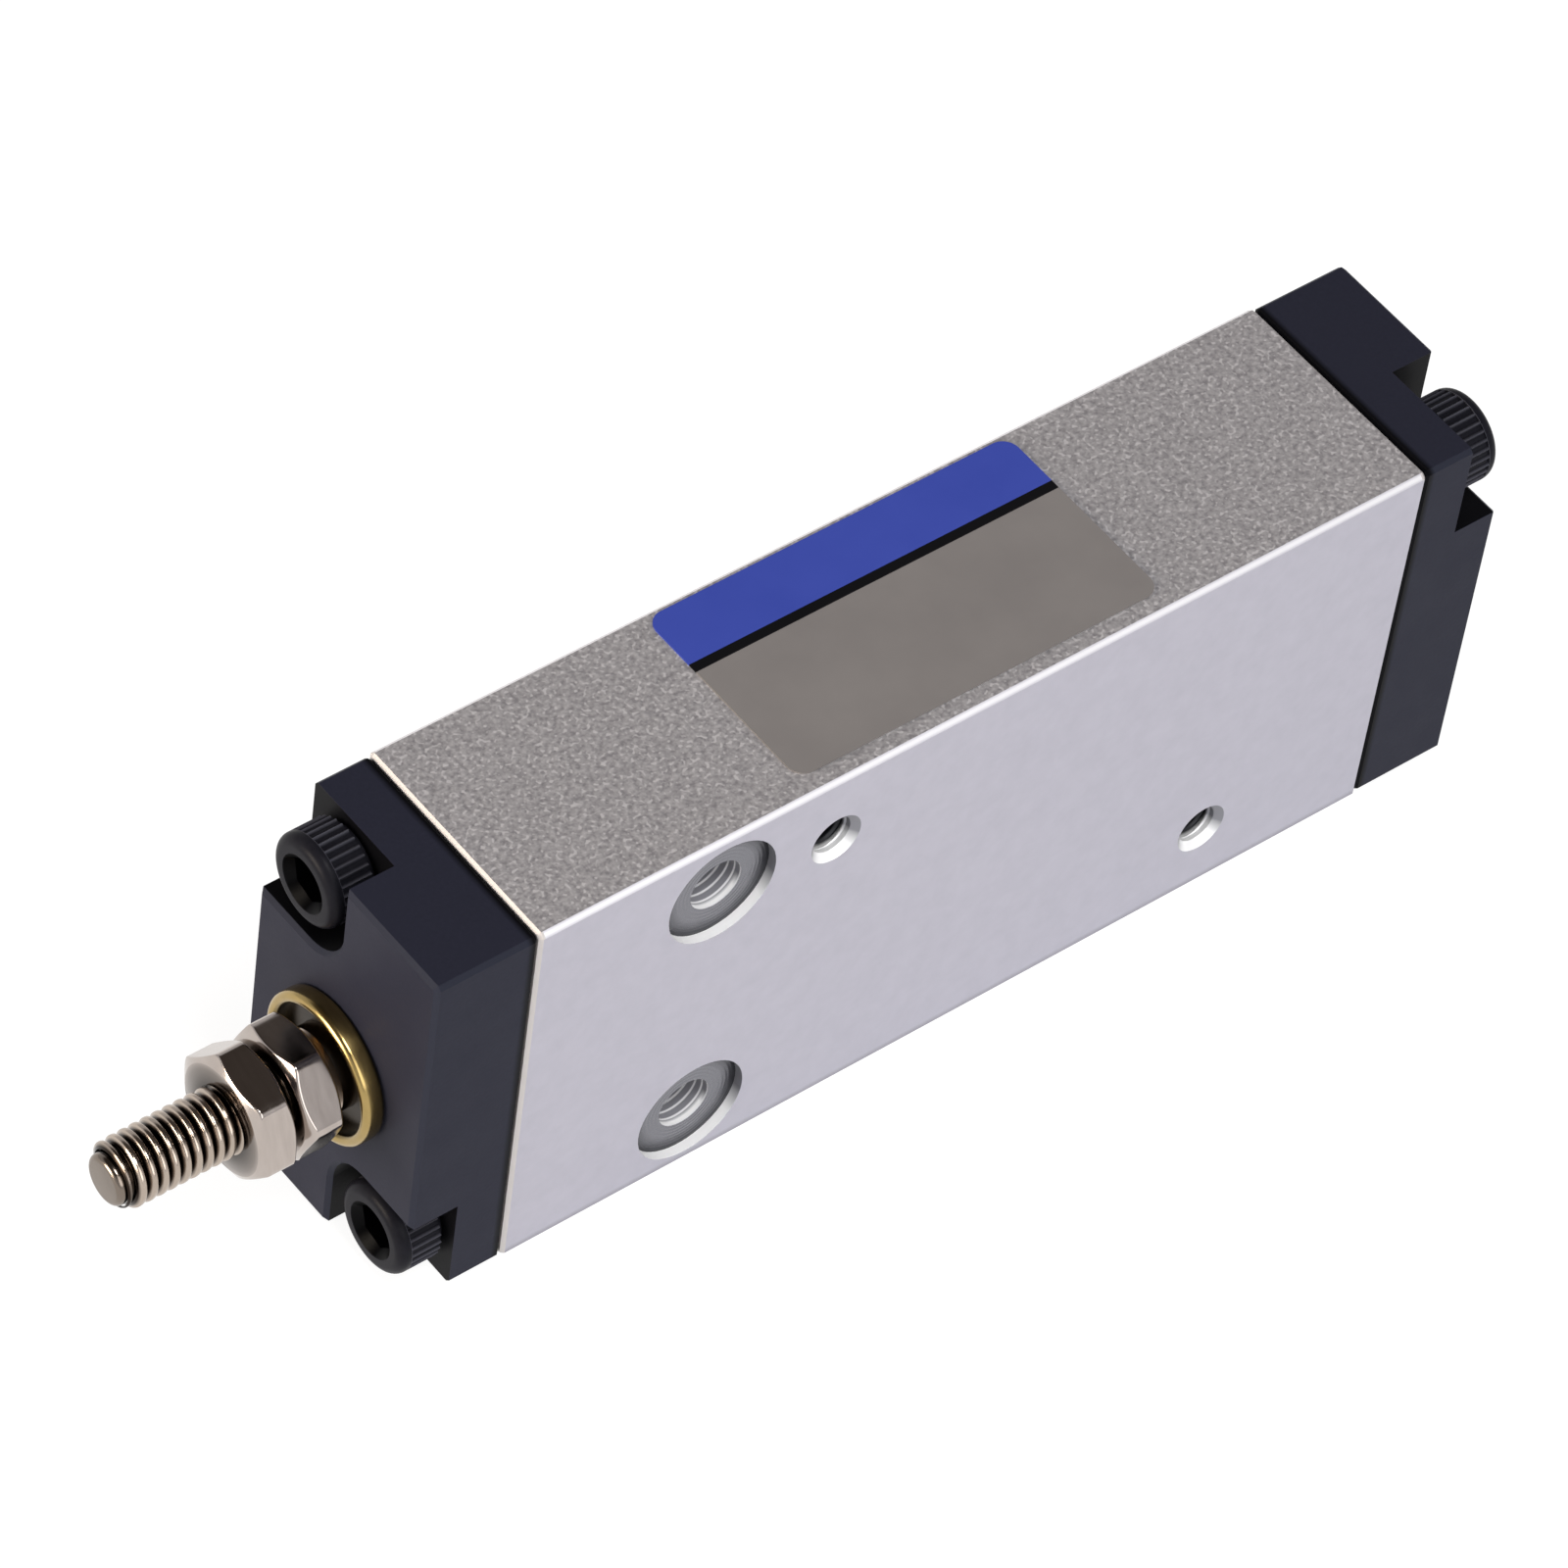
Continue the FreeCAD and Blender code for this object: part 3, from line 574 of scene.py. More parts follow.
def printed_label_film():
    """Satin polyester film, printed with a plain blue band and a black line, bare elsewhere."""
    finish, tree, place = new_finish("printed_polyester_film")
    across = add(tree, "ShaderNodeSeparateXYZ", {"Vector": place["Object"]}).outputs["Y"]
    cloud = add(tree, "ShaderNodeTexNoise", {
        "Vector": place["Object"], "Scale": 1 / FILM_CLOUD, "Detail": 3.0, "Roughness": 0.55})
    blue = add(tree, "ShaderNodeMix", {SHARE: cloud, FIRST: "#35459F", SECOND: "#3D4DA9"}, data_type="RGBA")
    bare = add(tree, "ShaderNodeMix", {SHARE: cloud, FIRST: "#757170", SECOND: "#827E7C"}, data_type="RGBA")
    past_band = add(tree, "ShaderNodeMath", {0: across, 1: BAND_EDGE}, operation="GREATER_THAN")
    past_line = add(tree, "ShaderNodeMath", {0: across, 1: LINE_EDGE}, operation="GREATER_THAN")
    colour = layered(tree, blue, [(past_band, "#030306"), (past_line, bare)])
    rough = add(tree, "ShaderNodeMapRange", {"Value": cloud, "To Min": 0.42, "To Max": 0.55})
    shader = add(tree, "ShaderNodeBsdfPrincipled", {
        "Base Color": colour, "Roughness": rough, "Specular IOR Level": 0.16})
    add(tree, "ShaderNodeOutputMaterial", {"Surface": shader})
    return finish


def group_inputs(tree, sockets):
    """Give a geometry tree its named inputs and one output, and return the inputs."""
    for label, kind in sockets:
        tree.interface.new_socket(label, in_out="INPUT", socket_type="NodeSocket" + kind)
    tree.interface.new_socket("Geometry", in_out="OUTPUT", socket_type="NodeSocketGeometry")
    return tree.nodes.new("NodeGroupInput").outputs


def set_in_row(tree, given, shape, turn, count):
    """End a geometry tree: set its shape at each of a row of places, as a real mesh with its finish."""
    row = add(tree, "GeometryNodeMeshLine", {
        "Count": count, "Start Location": given["First Place"], "Offset": given["Step"]}, mode="OFFSET")
    copies = add(tree, "GeometryNodeInstanceOnPoints", {"Points": row, "Instance": shape, "Rotation": turn})
    real = add(tree, "GeometryNodeRealizeInstances", {"Geometry": copies})
    dressed = add(tree, "GeometryNodeSetMaterial", {"Geometry": real, "Material": given["Finish"]})
    add(tree, "NodeGroupOutput", {"Geometry": dressed})


def helix_ridge():
    """Geometry tree: one thread's ridge, swept along a right-hand helix that climbs +X from the origin.

    Over the fade, in turns, the ridge swells from almost nothing at each end.
    """
    tree = bpy.data.node_groups.new("helix_ridge", "GeometryNodeTree")
    given = group_inputs(tree, RIDGE_SIZES)
    climb = add(tree, "ShaderNodeMath", {0: given["Pitch"], 1: given["Turns"]}, operation="MULTIPLY")
    path = add(tree, "GeometryNodeCurveSpiral", {
        "Resolution": HELIX_STEPS, "Rotations": given["Turns"], "Start Radius": given["Radius"],
        "End Radius": given["Radius"], "Height": climb})
    path = add(tree, "GeometryNodeSetCurveNormal", {"Curve": path}, mode="Z_UP")
    along = add(tree, "GeometryNodeSplineParameter").outputs["Factor"]
    turns_in = add(tree, "ShaderNodeMath", {0: along, 1: given["Turns"]}, operation="MULTIPLY")
    turns_left = add(tree, "ShaderNodeMath", {0: given["Turns"], 1: turns_in}, operation="SUBTRACT")
    nearest = add(tree, "ShaderNodeMath", {0: turns_in, 1: turns_left}, operation="MINIMUM")
    swell = add(tree, "ShaderNodeMapRange", {
        "Value": nearest, "From Min": 0.0, "From Max": given["Fade"], "To Min": 0.02, "To Max": 1.0})

    # The outline is drawn one pitch wide and one high, rounded at its crest, and then scaled
    outline = add(tree, "GeometryNodeCurvePrimitiveQuadrilateral", {
        "Height": 1.0, "Bottom Width": ROOT_SHARE, "Top Width": CREST_SHARE, "Offset": 0.0}, mode="TRAPEZOID")
    position = add(tree, "GeometryNodeInputPosition")
    height = add(tree, "ShaderNodeSeparateXYZ", {"Vector": position}).outputs["Y"]
    at_crest = add(tree, "ShaderNodeMath", {0: height, 1: 0.0}, operation="GREATER_THAN")
    rounding = add(tree, "ShaderNodeMath", {0: at_crest, 1: CREST_ROUND}, operation="MULTIPLY")
    outline = add(tree, "GeometryNodeFilletCurve", {
        "Curve": outline, "Radius": rounding, "Count": 3}, mode="POLY")
    outline = add(tree, "GeometryNodeTransform", {
        "Geometry": outline, "Translation": (-0.5, 0.0, 0.0), "Rotation": (0.0, 0.0, math.pi / 2)})
    size = add(tree, "ShaderNodeCombineXYZ", {"X": given["Height"], "Y": given["Pitch"], "Z": 1.0})
    outline = add(tree, "GeometryNodeTransform", {"Geometry": outline, "Scale": size})
    ridge = add(tree, "GeometryNodeCurveToMesh", {
        "Curve": path, "Profile Curve": outline, "Scale": swell, "Fill Caps": True})
    turned = add(tree, "GeometryNodeTransform", {"Geometry": ridge, "Rotation": (0.0, math.pi / 2, 0.0)})
    add(tree, "NodeGroupOutput", {"Geometry": turned})
    return tree


def placed_threads(ridge_tree):
    """Geometry tree: the same thread at each of a row of places, turned to its hole or bolt."""
    tree = bpy.data.node_groups.new("placed_threads", "GeometryNodeTree")
    given = group_inputs(tree, RIDGE_SIZES + ROW_INPUTS + [("Count", "Int")])
    sizes = {label: given[label] for label, kind in RIDGE_SIZES}
    ridge = add(tree, "GeometryNodeGroup", sizes, node_tree=ridge_tree)
    set_in_row(tree, given, ridge, given["Turn"], given["Count"])
    return tree


def socket_screws(ridge_tree):
    """Geometry tree: a turned screw with a knurled band and a thread, at two places and spun at random."""
    tree = bpy.data.node_groups.new("socket_screws", "GeometryNodeTree")
    counts = [("Ridges", "Int"), ("Seed", "Int")]
    given = group_inputs(tree, [("Body", "Geometry")] + SCREW_SIZES + ROW_INPUTS + counts)
    ring = add(tree, "GeometryNodeMeshCircle", {"Vertices": given["Ridges"], "Radius": given["Head Radius"]})
    position = add(tree, "GeometryNodeInputPosition")
    outward = add(tree, "FunctionNodeAlignRotationToVector", {"Vector": position}, axis="X")
    ridge = add(tree, "GeometryNodeMeshCylinder", {
        "Vertices": 4, "Radius": given["Ridge Size"], "Depth": given["Ridge Length"]})
    band = add(tree, "GeometryNodeInstanceOnPoints", {"Points": ring, "Instance": ridge, "Rotation": outward})
    half = add(tree, "ShaderNodeMath", {0: given["Ridge Length"], 1: 0.5}, operation="MULTIPLY")
    middle = add(tree, "ShaderNodeMath", {0: half, 1: given["Ridge Start"]}, operation="ADD")
    lift = add(tree, "ShaderNodeCombineXYZ", {"X": middle})
    band = add(tree, "GeometryNodeTransform", {
        "Geometry": band, "Translation": lift, "Rotation": (0.0, math.pi / 2, 0.0)})
    thread = add(tree, "GeometryNodeGroup", {
        "Radius": given["Thread Radius"], "Height": given["Thread Height"], "Pitch": given["Pitch"],
        "Turns": given["Turns"], "Fade": 0.5}, node_tree=ridge_tree)
    sunk = add(tree, "ShaderNodeMath", {0: given["Shank Length"], 1: -1.0}, operation="MULTIPLY")
    drop = add(tree, "ShaderNodeCombineXYZ", {"X": sunk})
    thread = add(tree, "GeometryNodeTransform", {"Geometry": thread, "Translation": drop})
    screw = add(tree, "GeometryNodeJoinGeometry")
    for part in (given["Body"], band.outputs["Geometry"], thread.outputs["Geometry"]):
        tree.links.new(part, screw.inputs["Geometry"])
    spin = add(tree, "FunctionNodeRandomValue", {
        "Min": (0.0, 0.0, 0.0), "Max": (math.tau, 0.0, 0.0), "Seed": given["Seed"]}, data_type="FLOAT_VECTOR")
    turn = add(tree, "ShaderNodeVectorMath", {0: given["Turn"], 1: spin}, operation="ADD")
    set_in_row(tree, given, screw, turn, count=2)
    return tree


def lathe(rows, sides, closed=False):
    """Return a mesh about the X axis from rows of (x, radius), where a radius may depend on the angle."""
    shape = bmesh.new()
    loops = []
    for x, radius in rows:
        loop = []
        for step in range(sides):
            angle = math.tau * step / sides
            reach = radius(angle) if callable(radius) else radius
            loop.append(shape.verts.new((x, reach * math.cos(angle), reach * math.sin(angle))))
        loops.append(loop)
    pairs = list(zip(loops, loops[1:]))
    if closed:
        pairs.append((loops[-1], loops[0]))
    for first, second in pairs:
        for step in range(sides):
            after = (step + 1) % sides
            shape.faces.new((first[step], second[step], second[after], first[after]))
    return shape


def arc(x, radius, size, start, end):
    """Return the points of a round stretch of an outline, about a centre (x, radius)."""
    angles = [start + (end - start) * step / ARC_STEPS for step in range(ARC_STEPS + 1)]
    return [(x + size * math.cos(angle), radius + size * math.sin(angle)) for angle in angles]


def hexagon_radius(width):
    """Return the radius of a hexagon at an angle from one of its corners."""
    return lambda angle: width / 2 / math.cos(angle % (math.pi / 3) - math.pi / 6)


def tidy_mesh(shape, mesh):
    """Weld a bmesh, point its faces outwards, and store it in a mesh, smooth but for sharp edges."""
    bmesh.ops.remove_doubles(shape, verts=shape.verts, dist=WELD)
    bmesh.ops.recalc_face_normals(shape, faces=shape.faces)
    for face in shape.faces:
        face.smooth = True
    shape.to_mesh(mesh)
    shape.free()
    mesh.set_sharp_from_angle(angle=FACET_ANGLE)
    return mesh


def in_scene(name, data):
    """Put an object with its mesh, lamp or lens into the scene."""
    thing = bpy.data.objects.new(name, data)
    bpy.context.scene.collection.objects.link(thing)
    return thing


def new_piece(name, shape, finish):
    """Make an object from a bmesh, with its finish."""
    mesh = tidy_mesh(shape, bpy.data.meshes.new(name))
    mesh.materials.append(finish)
    return in_scene(name, mesh)


def joined(name, pieces):
    """Join pieces that share one finish into one."""
    shape = bmesh.new()
    finish = pieces[0].data.materials[0]
    for piece in pieces:
        shape.from_mesh(piece.data)
        bpy.data.objects.remove(piece)
    return new_piece(name, shape, finish)


def grown(name, tree, settings, body=None):
    """Grow a piece from a geometry tree with its named inputs set, and keep the result as a plain mesh."""
    piece = in_scene(name, body or bpy.data.meshes.new(name + "_start"))
    modifier = piece.modifiers.new(name, "NODES")
    modifier.node_group = tree
    sockets = {item.name: item.identifier for item in tree.interface.items_tree if item.in_out == "INPUT"}
    for label, value in settings.items():
        modifier[sockets[label]] = value
    result = bpy.data.meshes.new_from_object(piece.evaluated_get(bpy.context.evaluated_depsgraph_get()))
    piece.modifiers.remove(modifier)
    shape = bmesh.new()
    shape.from_mesh(result)
    piece.data = tidy_mesh(shape, result)
    result.name = name
    return piece


def smooth_least(first, second, blend):
    """Return the lesser of two lengths, rounded where they meet."""
    nearness = max(blend - abs(first - second), 0.0)
    return min(first, second) - nearness * nearness / (4 * blend)


def nut_rows(low_x, high_x, hole_radius):
    """Return a nut's outline: countersunk hole, flat faces, and hexagon sides under a cone at each end."""
    side = hexagon_radius(NUT_WIDTH)
    corner = side(0.0)
    rise = (corner - NUT_FACE_RADIUS) * math.tan(NUT_CHAMFER_ANGLE)

    def row(share):
        """Radius of the side at a share of the cone's height."""
        cone = NUT_FACE_RADIUS + (corner - NUT_FACE_RADIUS) * share
        soft_corner = corner - NUT_EDGE
        return lambda angle: smooth_least(smooth_least(side(angle), soft_corner, NUT_EDGE), cone, NUT_EDGE)

    shares = [step / NUT_STEPS for step in range(1, NUT_STEPS + 2)]
    rows = [(low_x + NUT_COUNTERSINK, hole_radius), (low_x, hole_radius + NUT_COUNTERSINK)]
    rows.append((low_x, NUT_FACE_RADIUS))
    rows += [(low_x + rise * share, row(share)) for share in shares]
    rows += [(high_x - rise * share, row(share)) for share in reversed(shares)]
    rows.append((high_x, NUT_FACE_RADIUS))
    rows += [(high_x, hole_radius + NUT_COUNTERSINK), (high_x - NUT_COUNTERSINK, hole_radius)]
    return rows


def lock_nut(node, finish):
    """Make a lock nut in place of its solid, turned as that is."""
    low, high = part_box(node)
    shape = lathe(nut_rows(low.x, high.x, ROD_RADIUS * NUT_HOLE_SHARE), NUT_SIDES, closed=True)
    places = [vertex.co for vertex in frame["nodes"][node].data.vertices]
    corner = max(places, key=lambda co: math.hypot(co.y - AXIS_Y, co.z))
    turn = Matrix.Rotation(math.atan2(corner.z, corner.y - AXIS_Y), 4, "X")
    bmesh.ops.transform(shape, matrix=Matrix.Translation((0, AXIS_Y, 0)) @ turn, verts=shape.verts)
    piece = new_piece("plated_" + node, shape, finish)
    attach(piece, "rod_assembly")
    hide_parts(node)


def rod_outline():
    """Return the rod's corner points (x, radius) along its axis, read from its solid."""
    corners = set()
    for vertex in frame["nodes"]["piston_rod"].data.vertices:
        radius = math.hypot(vertex.co.y - AXIS_Y, vertex.co.z)
        corners.add((round(vertex.co.x / MM, 3) * MM, round(radius / MM, 2) * MM))
    ordered = []
    for x in sorted({corner[0] for corner in corners}):
        radii = sorted(corner[1] for corner in corners if corner[0] == x)
        last = ordered[-1][1] if ordered else 0.0
        if abs(radii[-1] - last) < abs(radii[0] - last):
            radii.reverse()
        ordered += [(x, radii[0]), (x, radii[-1])]
    return ordered


def threaded_rod(thread_tree, finish):
    """Make the rod with its rolled thread in place of its solid."""
    outline = rod_outline()
    shoulder = max(x for x, radius in outline if radius > ROD_CREST + WELD)
    start = shoulder + (ROD_RADIUS - ROD_ROOT)
    tip = ROD_HIGH.x
    nose = min(ROD_ROOT, outline[-1][1] or outline[-2][1])
    rows = [(x, radius) for x, radius in outline if x <= shoulder + WELD]
    rows += [(shoulder + (ROD_RADIUS - ROD_CREST), ROD_CREST), (start, ROD_ROOT)]
    rows += arc(tip - TIP_ROUND, nose - TIP_ROUND, TIP_ROUND, math.pi / 2, 0.0)
    rows.append((tip, 0.0))
    shape = lathe(rows, ROD_SIDES)
    bmesh.ops.translate(shape, vec=(0, AXIS_Y, 0), verts=shape.verts)
    core = new_piece("rod_core", shape, finish)
    ridge = grown("rod_ridge", thread_tree, {
        "Radius": ROD_ROOT - RIDGE_BURIED, "Height": ROD_CREST - ROD_ROOT + RIDGE_BURIED, "Pitch": ROD_PITCH,
        "Turns": (tip - TIP_ROUND - start) / ROD_PITCH, "Fade": 0.8, "Turn": [0.0, 0.0, 0.0],
        "First Place": [start, AXIS_Y, 0.0], "Step": [0.0, 0.0, 0.0], "Count": 1, "Finish": finish})
    rod = joined("threaded_piston_rod", [core, ridge])
    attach(rod, "rod_assembly")
    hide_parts("piston_rod")


def rounded_bush(finish):
    """Make the bush, its collar turned with a soft rim, in place of its solid."""
    low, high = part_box("rod_bush")
    cover_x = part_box("rod_cover")[1].x
    collar = (high.z - low.z) / 2
    inner = ROD_RADIUS + BUSH_CLEARANCE
    nose = (collar - BUSH_RECESS_RADIUS) / 2
    floor_x = high.x - BUSH_RECESS_DEPTH
    rows = [(low.x, inner), (low.x, BUSH_RADIUS), (cover_x, BUSH_RADIUS)]
    rows += arc(cover_x + BUSH_BACK_ROUND, collar - BUSH_BACK_ROUND, BUSH_BACK_ROUND, math.pi, math.pi / 2)
    rows += arc(high.x - nose, collar - nose, nose, math.pi / 2, -math.pi / 2)
    rows += [(floor_x, BUSH_RECESS_RADIUS), (floor_x, inner)]
    shape = lathe(rows, BUSH_SIDES, closed=True)
    bmesh.ops.translate(shape, vec=(0, AXIS_Y, 0), verts=shape.verts)
    piece = new_piece("turned_rod_bush", shape, finish)
    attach(piece, "cylinder_body")
    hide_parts("rod_bush")


def screw_body():
    """Return the mesh of one turned screw about the X axis, its head from x = 0 towards +X."""
    socket = hexagon_radius(SOCKET_WIDTH)
    socket_floor = HEAD_HEIGHT - SOCKET_DEPTH
    plain = HEAD_RADIUS - KNURL_SIZE * KNURL_ROOT_SHARE
    neck = plain - NECK_DEPTH
    rows = [(-SHANK_LENGTH, 0.0), (-SHANK_LENGTH, SHANK_ROOT - SHANK_CHAMFER)]
    rows += [(-SHANK_LENGTH + SHANK_CHAMFER, SHANK_ROOT), (0.0, SHANK_ROOT)]
    rows += [(0.0, neck), (KNURL_START - NECK_SLOPE, neck), (KNURL_START, plain)]
    rows += [(KNURL_END, plain), (KNURL_END, HEAD_RADIUS)]
    rows += arc(HEAD_HEIGHT - HEAD_RIM, HEAD_RADIUS - HEAD_RIM, HEAD_RIM, math.pi / 2, 0.0)
    rows += [(HEAD_HEIGHT, SOCKET_MOUTH), (HEAD_HEIGHT - SOCKET_CHAMFER_DEPTH, socket)]
    rows += [(socket_floor, socket), (socket_floor - SOCKET_POINT, 0.0)]
    return tidy_mesh(lathe(rows, SCREW_SIDES), bpy.data.meshes.new("screw_body"))


def cover_screws(node, tree, body, finish, outward, seed):
    """Make a cover's two knurled screws in place of their solids."""
    low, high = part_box(node)
    seat_x = high.x - HEAD_HEIGHT if outward > 0 else low.x + HEAD_HEIGHT
    upper = [vertex.co for vertex in frame["nodes"][node].data.vertices if vertex.co.z > 0]
    upper_y = (min(co.y for co in upper) + max(co.y for co in upper)) / 2
    upper_z = (min(co.z for co in upper) + max(co.z for co in upper)) / 2
    first = Vector((seat_x, upper_y, upper_z))
    second = Vector((seat_x, 2 * AXIS_Y - upper_y, -upper_z))
    piece = grown("knurled_" + node, tree, {
        "Ridges": KNURL_RIDGES, "Head Radius": HEAD_RADIUS - KNURL_SIZE, "Ridge Size": KNURL_SIZE,
        "Ridge Start": KNURL_START, "Ridge Length": KNURL_LENGTH, "Thread Radius": SHANK_ROOT - RIDGE_BURIED,
        "Thread Height": SHANK_RADIUS - SHANK_ROOT + RIDGE_BURIED, "Pitch": SCREW_PITCH,
        "Turns": THREAD_LENGTH / SCREW_PITCH, "Shank Length": SHANK_LENGTH - THREAD_START,
        "Turn": [0.0, 0.0, 0.0 if outward > 0 else math.pi], "First Place": list(first),
        "Step": list(second - first), "Seed": seed, "Finish": finish}, body.copy())
    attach(piece, "cylinder_body")
    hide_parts(node)


def tapped_threads(name, holes, pitch, turn, thread_tree, finish):
    """Make the threads in two like tapped holes, their ridges standing in from the drilled wall."""
    first, second = (MOUNTS[hole] for hole in holes)
    radius = first["dims"]["r_mm"] * MM
    length = first["dims"]["length_mm"] * MM
    outward = Vector(first["axis"])
    mouth = Vector(first["pos_m"]) + outward * (length / 2)
    piece = grown(name, thread_tree, {
        "Radius": radius + RIDGE_BURIED, "Height": -(TAPPED_DEPTH_SHARE * pitch + RIDGE_BURIED),
        "Pitch": pitch, "Turns": (length - pitch) / pitch, "Fade": 0.6, "Turn": turn,
        "First Place": list(mouth - outward * (length - pitch / 2)),
        "Step": list(Vector(second["pos_m"]) - Vector(first["pos_m"])), "Count": 2, "Finish": finish})
    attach(piece, "cylinder_body")


def dress(node, finish):
    """Give a solid its finish."""
    mesh = frame["nodes"][node].data
    mesh.materials.clear()
    mesh.materials.append(finish)


def white_floor():
    """Lay the floor under the part: matt white paper, almost white to the camera, clear from below."""
    paper = bpy.data.materials.new("white_paper_floor")
    tree = empty_tree(paper)
    rays = add(tree, "ShaderNodeLightPath").outputs
    matt = add(tree, "ShaderNodeBsdfDiffuse", {"Color": "#F2F2F2"})
    glow = add(tree, "ShaderNodeEmission", {"Color": "#FFFFFF", "Strength": FLOOR_GLOW})
    seen = add(tree, "ShaderNodeMath", {
        0: rays["Is Camera Ray"], 1: rays["Is Glossy Ray"]}, operation="MAXIMUM")
    seen = add(tree, "ShaderNodeMath", {0: seen, 1: rays["Is Transmission Ray"]}, operation="MAXIMUM")
    share = add(tree, "ShaderNodeMath", {0: seen, 1: FLOOR_GLOW_SHARE}, operation="MULTIPLY")
    lit = add(tree, "ShaderNodeMixShader", {"Fac": share, 1: matt, 2: glow})
    clear = add(tree, "ShaderNodeBsdfTransparent")
    from_below = add(tree, "ShaderNodeNewGeometry").outputs["Backfacing"]
    sided = add(tree, "ShaderNodeMixShader", {"Fac": from_below, 1: lit, 2: clear})
    add(tree, "ShaderNodeOutputMaterial", {"Surface": sided})

    mesh = bpy.data.meshes.new("floor")
    corners = [(-1, -1), (1, -1), (1, 1), (-1, 1)]
    mesh.from_pydata([(x * FLOOR_REACH, y * FLOOR_REACH, CAD_LOW.z) for x, y in corners], [], [(0, 1, 2, 3)])
    mesh.materials.append(paper)
    floor = in_scene("floor", mesh)


def soft_light():
    """Light the part: pale walls and a dim ceiling all round, white to the camera, and three softboxes."""
    world = bpy.data.worlds.new("studio")
    bpy.context.scene.world = world
    tree = empty_tree(world)
    rays = add(tree, "ShaderNodeLightPath").outputs
    place = add(tree, "ShaderNodeTexCoord").outputs
    height = add(tree, "ShaderNodeSeparateXYZ", {"Vector": place["Generated"]}).outputs["Z"]
    ceiling = add(tree, "ShaderNodeMapRange", {
        "Value": height, "From Min": WALL_TOP, "From Max": CEILING_EDGE})
    around = add(tree, "ShaderNodeMix", {
        SHARE: ceiling, FIRST: "#D6D6D9", SECOND: "#4A4440"}, data_type="RGBA")
    sky = add(tree, "ShaderNodeMix", {
        SHARE: rays["Is Camera Ray"], FIRST: around, SECOND: "#FFFFFF"}, data_type="RGBA")
    back = add(tree, "ShaderNodeBackground", {"Color": sky, "Strength": 1.0})
    add(tree, "ShaderNodeOutputWorld", {"Surface": back})

    for name, spot, width, power, tint in LAMPS:
        lamp = bpy.data.lights.new(name, "AREA")
        lamp.size = width
        lamp.energy = power
        lamp.color = linear(tint)[:3]
        holder = in_scene(name, lamp)
        holder.location = spot
        holder.rotation_euler = (-Vector(spot)).to_track_quat("-Z", "Y").to_euler()


def camera_in_place():
    """Set the camera where the photograph was taken from, and show colours as they are."""
    lens = bpy.data.cameras.new("camera")
    lens.sensor_fit = "HORIZONTAL"
    lens.sensor_width = SENSOR_WIDTH_MM
    lens.lens = LENS_MM
    lens.clip_start = NEAREST_VIEW
    camera = in_scene("camera", lens)
    turn = Matrix((CAMERA_RIGHT, CAMERA_UP, CAMERA_RIGHT.cross(CAMERA_UP))).transposed()
    camera.matrix_world = Matrix.Translation(CAMERA_PLACE) @ turn.to_4x4()
    bpy.context.scene.camera = camera
    bpy.context.scene.view_settings.view_transform = "Standard"


# Nickel plate on the nuts: warm bright mirrors with soft edges, brownish painted shade round the hole and on
# the square faces
nickel = turned_metal(
    "nickel_plated_steel", "#AAA099", "#C0B6AF", roughness=0.13, streak=0.5 * MM,
    painted_shade={"painted_shade": "#3B3530", "dark_radius": ROD_CREST, "unshaded_radius": NUT_FACE_RADIUS, "face_share": 0.55})
# Ground and chromed rod: warm bright crests over roots in almost black painted shade, which also darkens part
# of the tip
chrome = turned_metal(
    "ground_chromed_steel", "#A09388", "#C2B4A6", roughness=0.2, streak=0.4 * MM,
    painted_shade={"painted_shade": "#2C241E", "dark_radius": ROD_ROOT + SHADE_MARGIN, "unshaded_radius": ROD_CREST - SHADE_MARGIN,
         "end_x": ROD_HIGH.x - TIP_ROUND})
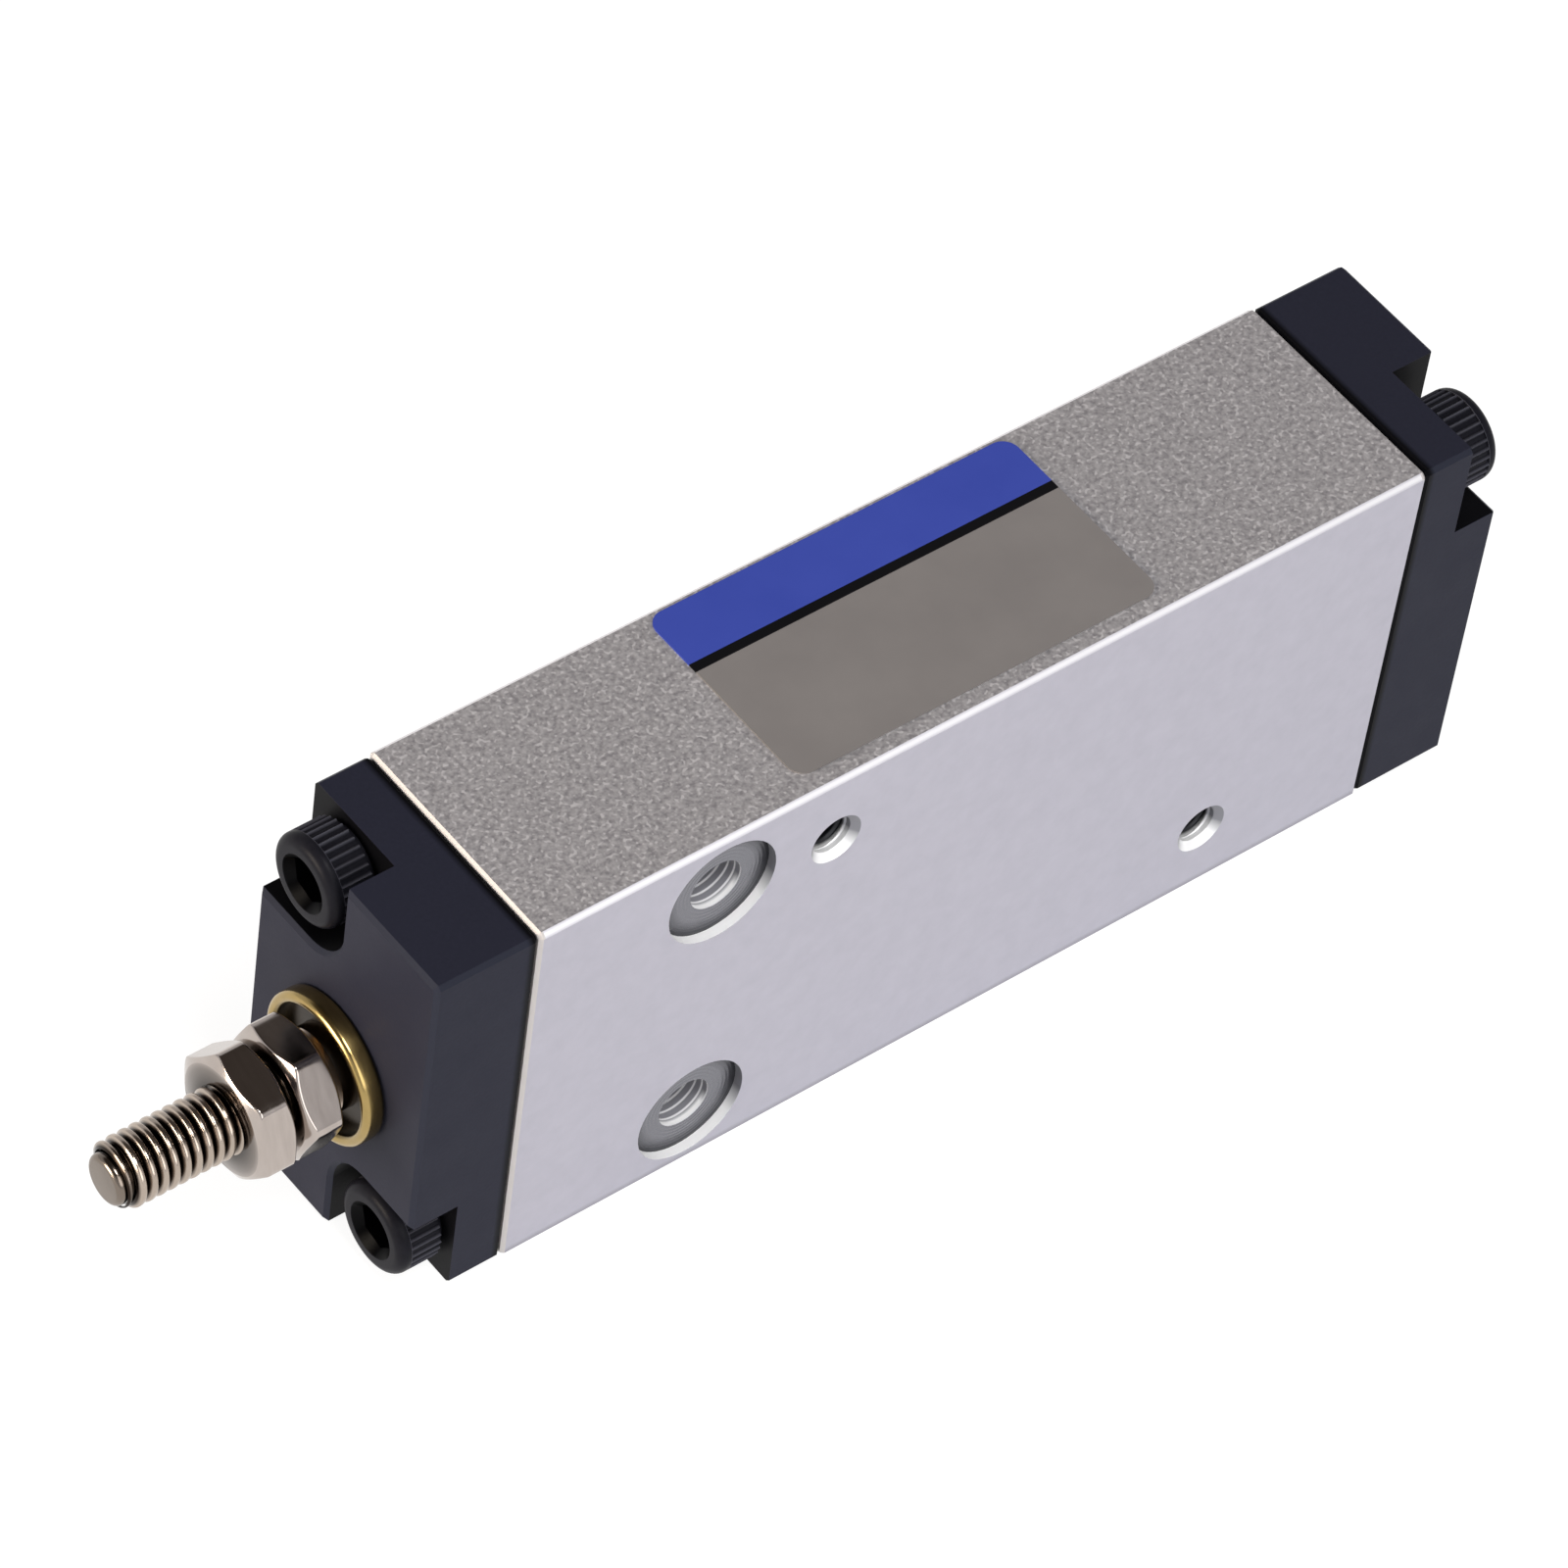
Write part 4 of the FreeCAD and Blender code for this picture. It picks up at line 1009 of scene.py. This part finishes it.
# Turned brass: a soft yellow gleam on the collar's rim, and dark painted shade in the recess
brass = turned_metal(
    "turned_brass", "#9C8552", "#B8A06A", roughness=0.22, streak=0.35 * MM,
    painted_shade={"painted_shade": "#2A2013", "dark_radius": BUSH_RECESS_RADIUS - 2 * SKIN,
         "unshaded_radius": BUSH_RECESS_RADIUS + BUSH_SHADE_RIM})
# Turned aluminium: a pale grey with a broad, soft shine
piston_metal = turned_metal("turned_aluminium", "#B4B4B8", "#CCCCD0", roughness=0.3, streak=0.3 * MM)
# Nitrile rubber: matt and almost black
nitrile = moulded("nitrile_rubber", "#141414", "#202020", roughness=(0.52, 0.68), grain_size=0.3 * MM)
# Urethane rubber: a brownish black with a little more shine
urethane = moulded("urethane_rubber", "#1C1A18", "#2A2724", roughness=(0.42, 0.58), grain_size=0.3 * MM)
# Acetal: smooth, waxy and off-white
acetal = moulded("white_acetal", "#D8D5CA", "#E6E3DA", roughness=(0.32, 0.48), grain_size=0.4 * MM)
tube_metal = natural_anodised_tube()
cover_black = black_anodised_cover()
screw_black = black_oxide_screw()

dressed_nodes = [
    (tube_metal, ["cylinder_tube"]),
    (cover_black, ["rod_cover", "head_cover"]),
    (printed_label_film(), ["label_film"]),
    (piston_metal, ["piston"]),
    (acetal, ["wear_ring"]),
    (urethane, ["rear_bumper", "front_bumper"]),
    (nitrile, ["rod_cover_ring", "head_cover_ring", "rod_ring", "rod_packing"]),
    (nitrile, ["rear_piston_packing", "front_piston_packing"]),
]
for finish, nodes in dressed_nodes:
    for node in nodes:
        dress(node, finish)

ridge = helix_ridge()
threads = placed_threads(ridge)
screws = socket_screws(ridge)
threaded_rod(threads, chrome)
for node in ("inner_nut", "outer_nut"):
    lock_nut(node, nickel)
rounded_bush(brass)
body = screw_body()
cover_screws("rod_cover_screws", screws, body, screw_black, outward=1, seed=3)
cover_screws("head_cover_screws", screws, body, screw_black, outward=-1, seed=5)
tapped_threads(
    "tapped_hole_threads", ("tapped_hole_rod_end", "tapped_hole_head_end"), TAPPED_PITCH,
    [0.0, 0.0, math.pi / 2], threads, tube_metal)
tapped_threads(
    "port_threads", ("rod_side_port", "head_side_port"), PORT_PITCH,
    [0.0, math.pi / 2, 0.0], threads, tube_metal)
white_floor()
soft_light()
camera_in_place()
